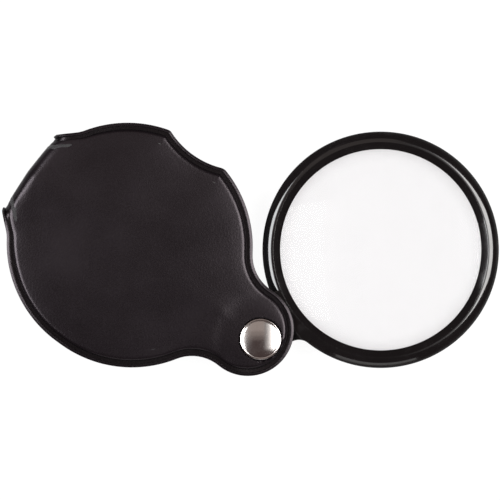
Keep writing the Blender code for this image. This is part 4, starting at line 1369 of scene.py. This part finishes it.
def make_ear():
    """The blank cut across where its top rises, so it can bend there, and then raised."""
    made = ear_blank()
    bmesh.ops.remove_doubles(made, verts=made.verts, dist=DOUBLED)
    for i in range(RISE_CUTS + 1):
        cut = EAR_RISE_FROM + (EAR_RISE_TO - EAR_RISE_FROM) * i / RISE_CUTS
        bmesh.ops.bisect_plane(
            made, geom=made.verts[:] + made.edges[:] + made.faces[:], dist=CUT_SNAP,
            plane_co=(cut, 0, 0), plane_no=(1, 0, 0),
        )
    for vertex in made.verts:
        vertex.co.z *= ear_height(vertex.co.x) / EAR_HALF
        vertex.co = lens_to_world(vertex.co)
    bmesh.ops.recalc_face_normals(made, faces=made.faces)
    return finished("ear_of_frame", made, black_plastic)


# %% One solid
def joined(name, first, second, material):
    """One solid from two that overlap."""
    union = first.modifiers.new("union", "BOOLEAN")
    union.operation, union.solver, union.object = "UNION", "EXACT", second
    made = shaped_mesh(first)
    bpy.data.objects.remove(second)
    bmesh.ops.remove_doubles(made, verts=made.verts, dist=MERGED)
    bmesh.ops.dissolve_degenerate(made, edges=made.edges, dist=DOUBLED)
    return finished(name, made, material, sharp=30.0)


moulded_frame = joined("moulded_frame", ring, make_ear(), black_plastic)
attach(moulded_frame, "lens_holder")
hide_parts("lens_frame")

# %% [markdown]
# ## Retaining ring and lens
# Behind the lens a springy ring sits in a groove of the frame. The lens bulges on both sides, and
# its rim is ground, not polished, so the rim is a second material on the same piece. It is given
# to the upright edge and to both chamfers.

# %% Retaining ring
SNAP_OUTER, SNAP_INNER, SNAP_TOP, SNAP_LOW = 30.45 * MM, 28.9 * MM, -1.15 * MM, -2.25 * MM
SNAP_ROUND, SNAP_BREAK = 0.22 * MM, 0.1 * MM
SNAP_CHAMFER, SNAP_CHAMFER_RISE = 0.45 * MM, 0.4 * MM


def snap_section():
    """A rectangle, rounded outside, with a wide and a narrow chamfer towards the opening."""
    middle = SNAP_OUTER - SNAP_ROUND
    upper = bow(middle, SNAP_TOP - SNAP_ROUND, SNAP_ROUND, SNAP_ROUND, 0.0, 90.0, 4)
    lower = bow(middle, SNAP_LOW + SNAP_ROUND, SNAP_ROUND, SNAP_ROUND, 90.0, 180.0, 4)
    chamfer = [(SNAP_INNER + SNAP_CHAMFER, SNAP_LOW), (SNAP_INNER, SNAP_LOW + SNAP_CHAMFER_RISE)]
    broken = [(SNAP_INNER, SNAP_TOP - SNAP_BREAK), (SNAP_INNER + SNAP_BREAK, SNAP_TOP)]
    return broken[1:] + upper + lower + chamfer + broken[:1]


retaining_ring = turned("retaining_ring", snap_section(), ring_centre, RING_STEPS, black_plastic)
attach(retaining_ring, "lens_holder")
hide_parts("lens_retaining_ring")

# %% Lens
LENS_RADIUS, LENS_EDGE, LENS_CURVE = 30.0 * MM, 0.8 * MM, 190.0 * MM  # the edge is half its height
EDGE_CHAMFER, CHAMFER_FALL = 0.15 * MM, 0.6  # its width, and its fall as a share of that
LENS_STEPS = 192


def lens_section():
    """Front face, chamfered edge and back face."""
    drop = LENS_CURVE - math.sqrt(LENS_CURVE**2 - LENS_RADIUS**2)
    lean = math.degrees(math.asin((LENS_RADIUS - EDGE_CHAMFER) / LENS_CURVE))
    front = bow(0.0, LENS_EDGE + drop - LENS_CURVE, LENS_CURVE, LENS_CURVE, 0.0, lean, 24)
    front.append((LENS_RADIUS, LENS_EDGE - CHAMFER_FALL * EDGE_CHAMFER))
    return front + upside_down(front)[::-1]


glass_lens = turned("glass_lens", lens_section(), ring_centre, LENS_STEPS, polished_glass, closed=False)
glass_lens.data.materials.append(ground_glass)
for face in glass_lens.data.polygons:
    reach = math.hypot(face.center.x - ring_centre.x, face.center.y - ring_centre.y)
    if reach > LENS_RADIUS - EDGE_CHAMFER:
        face.material_index = 1
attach(glass_lens, "lens_holder")
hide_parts("lens")
